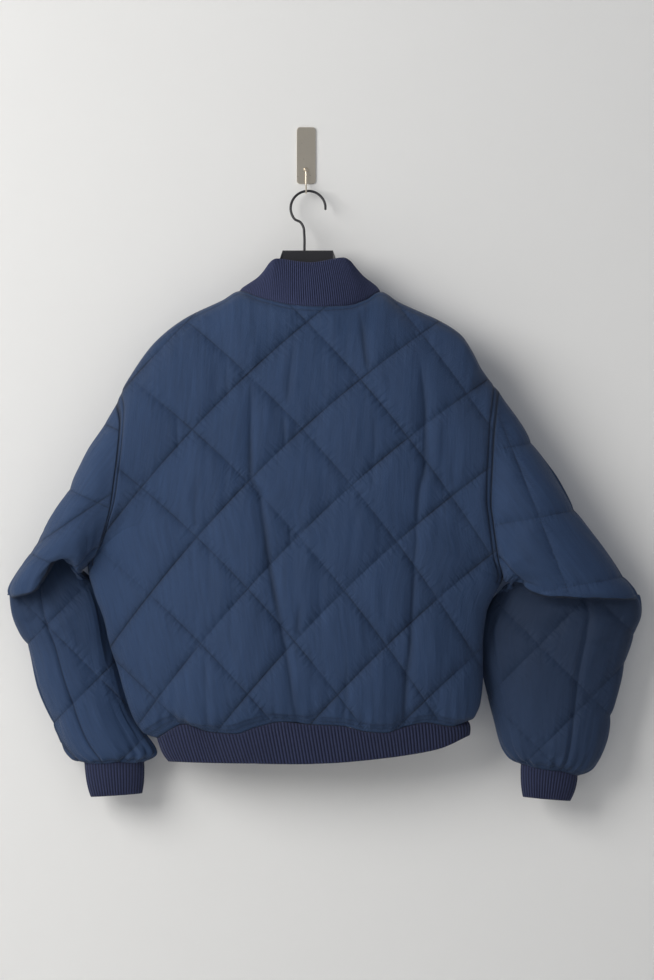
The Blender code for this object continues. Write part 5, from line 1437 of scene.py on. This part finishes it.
class BuildSleeves(JacketPart, bpy.types.Operator):
    """Two sleeves, each with its elbow fold, seams and gathers at the cuff"""
    bl_idname = "jacket.sleeves"
    bl_label = "Sleeves"

    def execute(self, context):
        look = settings()
        thread = bpy.data.materials["navy thread"]
        for side in ("left", "right"):
            cloth = quilted_finish("quilted navy cloth, %s sleeve" % side, look, sleeve_cells_group(side),
                                   (0.75, 0.85) if side == "left" else (0.45, 0.40))
            skin = sleeve_skin(side, look)
            end = SLEEVE[side][1]
            phi = np.linspace(0, 2 * math.pi, 241)[:-1]
            t = np.linspace(0, 1, 317)
            ob = cloth_piece("sleeve_" + side, skin, phi * SLEEVE_RADIUS, t * end, True, WALL, cloth)
            panels = ["sleeve_%s_upper" % side, "sleeve_%s_under" % side]
            hung(ob, panels)
            rows = hanging_stitch_rows(skin, side)
            rows.append(cloth_row(skin, np.linspace(-2.4, 2.4, 300) * SLEEVE_RADIUS, 0.0045))
            rows.append(cloth_row(skin, np.linspace(0, 2 * math.pi, 400) * SLEEVE_RADIUS, end - 0.004))
            run = np.linspace(ELBOW_MIDDLE[side] + 0.016, end - 0.008, 200)
            rows.append(cloth_row(skin, SLEEVE_SEAM_LOW * SLEEVE_RADIUS + 0.0045, run))
            sewn(stitches("sleeve_%s_sewing" % side, rows, look, thread))
        return {"FINISHED"}


class BuildRibs(JacketPart, bpy.types.Operator):
    """Ribbed hem, collar and cuffs"""
    bl_idname = "jacket.ribs"
    bl_label = "Ribs"

    def execute(self, context):
        look = settings()
        knit = rib_finish(look)
        # The collar knit is a 1.32 times lighter copy of the rib knit: painted light on the collar.
        lit_collar_knit = rib_finish(look, "navy collar knit", [c * 1.32 for c in look.rib_colour])
        turn, front, place, away = seam_loop("hem")
        u = (1 - np.cos(turn)) / 2
        x = metres_x(HEM_BOTTOM[0][0]) * (1 - u) + metres_x(HEM_BOTTOM[-1][0]) * u
        middle = (HEM_BOTTOM[0][0] + HEM_BOTTOM[-1][0]) / 2
        x = np.where(front, x + 4 * u * (1 - u) * (metres_x(FRONT_MIDDLE) - metres_x(middle)), x)
        z = hem_bottom_z(u)
        y = middle_y(z) + np.where(front, 1, -1) * HEM_DEPTH * np.sin(turn)
        far = np.stack([x, y, z], 1)
        top = place + unit(far - place) * SEAM_GAP
        hem = ribbed_band("hem_ribs", top, top - away * WALL, away, far, HEM_RIBS, False, knit,
                          0.0015, 16, 0.0012, 3)
        hung(hem, ["hem_rib"])
        turn, front, place, away = seam_loop("neck")
        d = lengths(place)
        rows = np.array(COLLAR_TOP)
        across, down, apart = [curve(rows[:, 0], rows[:, k])(d / d[-1]) for k in (1, 2, 3)]
        z = metres_z(down)
        far = np.stack([metres_x(across), middle_y(z) + apart, z], 1)
        top = place + unit(far - place) * SEAM_GAP
        collar = ribbed_band("collar_ribs", top, top - away * WALL, away, far, COLLAR_RIBS, False,
                             lit_collar_knit, 0.003, 20, 0.0012, 9)
        hung(collar, ["collar"])
        for side in ("left", "right"):
            end = SLEEVE[side][1]
            phi = np.linspace(0, 2 * math.pi, 361)[:-1]
            p = np.stack([phi * SLEEVE_RADIUS, np.full_like(phi, end)], 1)
            place, out = sleeve_plain(side)(p)
            ox, oz, ix, iz = CUFF_END[side]
            a, b = np.array([metres_x(ox), metres_z(oz)]), np.array([metres_x(ix), metres_z(iz)])
            xz = (a + b) / 2 + (a - b) / 2 * np.cos(phi)[:, None]
            y = SLEEVE[side][0][6](end) - 0.015 * np.sin(phi)
            far = np.stack([xz[:, 0], y, xz[:, 1]], 1)
            top = place + unit(far - place) * SEAM_GAP
            cuff = ribbed_band("cuff_%s_ribs" % side, top, top - out * WALL, out, far, CUFF_RIBS, True, knit,
                               0.0020, 16, 0.0010, 13)
            hung(cuff, ["cuff_" + side])
        return {"FINISHED"}


class BuildZip(JacketPart, bpy.types.Operator):
    """Zip tape and teeth between the fronts, with its slider and pull tab"""
    bl_idname = "jacket.zip"
    bl_label = "Zip"

    def execute(self, context):
        v = np.append(np.linspace(0, 1, 240)[:-1], 0.985)
        spots, out = cloth_row(body_plain(True), TORSO_HALF_GIRTH / 2, np.minimum(v, 0.985) * TORSO_LENGTH)
        out[:, 0] = 0
        out = unit(out)
        low_z = hem_bottom_z(0.5)
        foot = np.array([[spots[0, 0], middle_y(low_z) + HEM_DEPTH, low_z + 0.0005]])
        legs = np.linspace(0, 1, 14)[:-1, None]
        spots = np.concatenate([foot * (1 - legs) + spots[:1] * legs, spots]) - np.concatenate(
            [np.repeat(out[1:2], 13, 0), out]) * WALL
        out = np.concatenate([np.repeat(out[1:2], 13, 0), out])
        low, thick, half = -SEAM_GAP - 0.0012, ZIP_TAPE_THICK, ZIP_TAPE_HALF
        section = [(-half, low - thick), (0, low - thick), (half, low - thick),
                   (half, low), (0.0012, low), (-0.0012, low), (-half, low)]
        grid = np.stack([spots + np.array([x, 0, 0]) + out * dz for x, dz in section], 1)
        faces = list(grid_faces(len(spots), len(section), True))
        ends = np.arange(len(section))
        faces += [ends[::-1], (len(spots) - 1) * len(section) + ends]
        d = lengths(spots)
        uv = np.stack([np.tile([x for x, _ in section], len(spots)), np.repeat(d, len(section))], 1)
        web = finish_of("zip web", (0.018, 0.026, 0.052), 0.8, 0.4, 1100.0, 0.3, 0.0002, 0.2, 20.0,
                        sheen=0.15)
        tape = facing_out(new_piece("zip_web", grid.reshape(-1, 3), faces, web, 40.0, uv))
        hung(tape, ["zip_tape"])
        metal = brushed_steel("satin zip metal", (0.42, 0.41, 0.39), 0.34)
        mids = np.arange(0.003, d[-1] - 0.004, 0.00125)
        at, way = sampled(mids, d, spots), sampled(mids, d, out)
        points, quads = [], []
        side = np.array([1.0, 0, 0])
        for k, (c, o) in enumerate(zip(at, way)):
            up = np.cross(side, o)
            s = 1 if k % 2 else -1
            for deep in (low, 0.0012, 0.0017):
                w, h = (0.0017, 0.00052) if deep < 0.0015 else (0.0013, 0.00034)
                for i, j in ((-1, -1), (1, -1), (1, 1), (-1, 1)):
                    points.append(c + side * (s * 0.0009 + i * w) + up * j * h + o * deep)
            b = k * 12
            quads.append((b, b + 3, b + 2, b + 1))
            quads += [(b + q + e, b + q + (e + 1) % 4, b + q + 4 + (e + 1) % 4, b + q + 4 + e)
                      for q in (0, 4) for e in range(4)]
            quads.append((b + 8, b + 9, b + 10, b + 11))
        teeth = new_piece("zip_teeth", np.array(points), quads, metal, 30.0)
        sewn(teeth)
        for name in ("zip_slider", "zip_pull"):
            kept_solid(name, metal, 0.00018, 2, 35)
        return {"FINISHED"}


class BuildHanger(JacketPart, bpy.types.Operator):
    """Black hanger with its hook, and the steel plate and wire hook on the wall"""
    bl_idname = "jacket.hanger"
    bl_label = "Hanger and wall hook"

    def execute(self, context):
        look = settings()
        black = finish_of("matte black", tuple(look.hanger_colour), 0.42, spread=0.3, size=25.0,
                          bump=0.00006, rough_spread=0.2)
        x0, z0 = metres_x(308), HOOK_TOP_Z - HOOK_RADIUS
        turns = np.radians(np.concatenate([np.arange(-4, 200, 14.0), [206, 218, 230]]))
        path = [(x0 + HOOK_RADIUS * math.cos(a), z0 + HOOK_RADIUS * math.sin(a)) for a in turns]
        path += [(metres_x(300.5), metres_z(221.5)), (metres_x(303.2), metres_z(226)),
                 (metres_x(304.2), metres_z(234)), (metres_x(304.4), metres_z(249.43))]
        keep = path[:17] + path[-4:]
        hook = round_bar("hanger_wire", [(x, hook_y(z), z) for x, z in keep],
                         [HOOK_WIRE * 0.9] + [HOOK_WIRE] * (len(keep) - 1), 150, black)
        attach(hook, "jacket")
        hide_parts("hanger_hook")
        kept_solid("hanger_body", black, 0.0014, 3, 28)
        steel = brushed_steel("satin steel", tuple(look.steel_colour), 0.30)
        wire = round_bar("wall_wire", WIRE_PATH, WIRE_RADII, 160, steel)
        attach(wire, "jacket")
        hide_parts("wall_wire_hook")
        kept_solid("wall_plate", steel, 0.00035, 3, 30)
        return {"FINISHED"}


class BuildStage(JacketPart, bpy.types.Operator):
    """Pale wall and floor, soft studio light and the camera"""
    bl_idname = "jacket.stage"
    bl_label = "Wall, floor, light and camera"

    def execute(self, context):
        look = settings()
        plaster = finish_of("pale plaster", tuple(look.wall_colour), 0.9, spread=0.03, size=2.0,
                            bump=0.0001, rough_spread=0.05, specular=0.2)
        tree = plaster.node_tree
        side, ray = node(tree, "ShaderNodeNewGeometry"), node(tree, "ShaderNodeLightPath")
        unseen = most(tree, side.outputs["Backfacing"], ray.outputs["Is Shadow Ray"])
        clear = node(tree, "ShaderNodeBsdfTransparent").outputs[0]
        both = node(tree, "ShaderNodeMixShader", {
            "Fac": unseen, 1: tree.nodes["Principled BSDF"].outputs[0], 2: clear})
        feed(tree, tree.nodes["Material Output"].inputs["Surface"], both.outputs[0])
        face, foot, bend = 0.0006, -1.15, 0.35  # y of the wall, z where it starts to bend, radius, m
        profile = [(face, 2.2), (face, 0.3), (face, foot)]
        profile += [(face - bend * (1 - math.cos(a)), foot - bend * math.sin(a))
                    for a in np.linspace(0, math.pi / 2, 15)[1:]]
        profile += [(-2.5, foot - bend), (-6.5, foot - bend)]
        points = [(x, y, z) for y, z in profile for x in (-5.0, 5.0)]
        faces = [(2 * i, 2 * i + 2, 2 * i + 3, 2 * i + 1) for i in range(len(profile) - 1)]
        wall = new_piece("wall_and_floor", points, faces, plaster, 180.0)
        if wall.data.polygons[0].normal.y > 0:
            wall.data.flip_normals()
        for name, place, aim, size, power, colour in LAMPS:
            lamp = bpy.data.lights.new(name, "AREA")
            lamp.shape, lamp.size, lamp.energy, lamp.color = "DISK", size, power, colour
            ob = bpy.data.objects.new(name, lamp)
            ob.location = place
            ob.rotation_euler = (Vector(aim) - Vector(place)).to_track_quat("-Z", "Y").to_euler()
            context.scene.collection.objects.link(ob)
        world = bpy.data.worlds.new("soft room light")
        world.use_nodes = True
        sky = world.node_tree.nodes["Background"].inputs
        sky["Color"].default_value, sky["Strength"].default_value = (0.93, 0.95, 1.0, 1), 0.33
        context.scene.world = world
        lens = bpy.data.cameras.new("camera")
        lens.sensor_fit, lens.sensor_height, lens.lens = "VERTICAL", SENSOR, FOCAL
        lens.clip_start, lens.clip_end = 0.1, 30.0
        camera = bpy.data.objects.new("camera", lens)
        away = PICTURE_HIGH * SCALE * FOCAL / SENSOR
        camera.location = (metres_x(PICTURE_ACROSS), SEEN_PLANE - away, metres_z(PICTURE_DOWN))
        camera.rotation_euler = (math.pi / 2, 0, 0)
        context.scene.collection.objects.link(camera)
        context.scene.camera = camera
        context.scene.view_settings.view_transform = "Standard"
        return {"FINISHED"}


LAMPS = [  # name, place, aim, size m, power W, colour
    ("window", (-2.3, -2.1, 0.62), (0.0, 0.0, -0.5), 2.3, 97.0, (1.0, 0.985, 0.955)),
    ("fill", (2.2, -3.4, 0.6), (0.1, 0.0, -0.5), 2.4, 6.0, (0.92, 0.95, 1.0)),
    ("behind", (0.0, 4.2, -0.42), (0.0, 0.0, -0.45), 0.9, 90.0, (1.0, 0.985, 0.955))]
STEPS = (BuildBack, BuildFronts, BuildSleeves, BuildRibs, BuildZip, BuildHanger, BuildStage)


class JacketPanel(bpy.types.Panel):
    """Sizes, colours and pieces of the jacket"""
    bl_idname = "VIEW3D_PT_jacket"
    bl_label = "Jacket"
    bl_space_type = "VIEW_3D"
    bl_region_type = "UI"
    bl_category = "Jacket"

    def draw(self, context):
        column = self.layout.column()
        for name in JacketLook.__annotations__:
            column.prop(settings(), name)
        for kind in STEPS:
            column.operator(kind.bl_idname)


CLASSES = (JacketLook, *STEPS, JacketPanel)


def register():
    for kind in CLASSES:
        bpy.utils.register_class(kind)
    bpy.types.Scene.jacket_look = bpy.props.PointerProperty(type=JacketLook)


def unregister():
    del bpy.types.Scene.jacket_look
    for kind in reversed(CLASSES):
        bpy.utils.unregister_class(kind)


def main():
    register()
    for kind in STEPS:
        group, name = kind.bl_idname.split(".")
        getattr(getattr(bpy.ops, group), name)()
    bpy.context.view_layer.update()


if __name__ == "__main__":
    main()
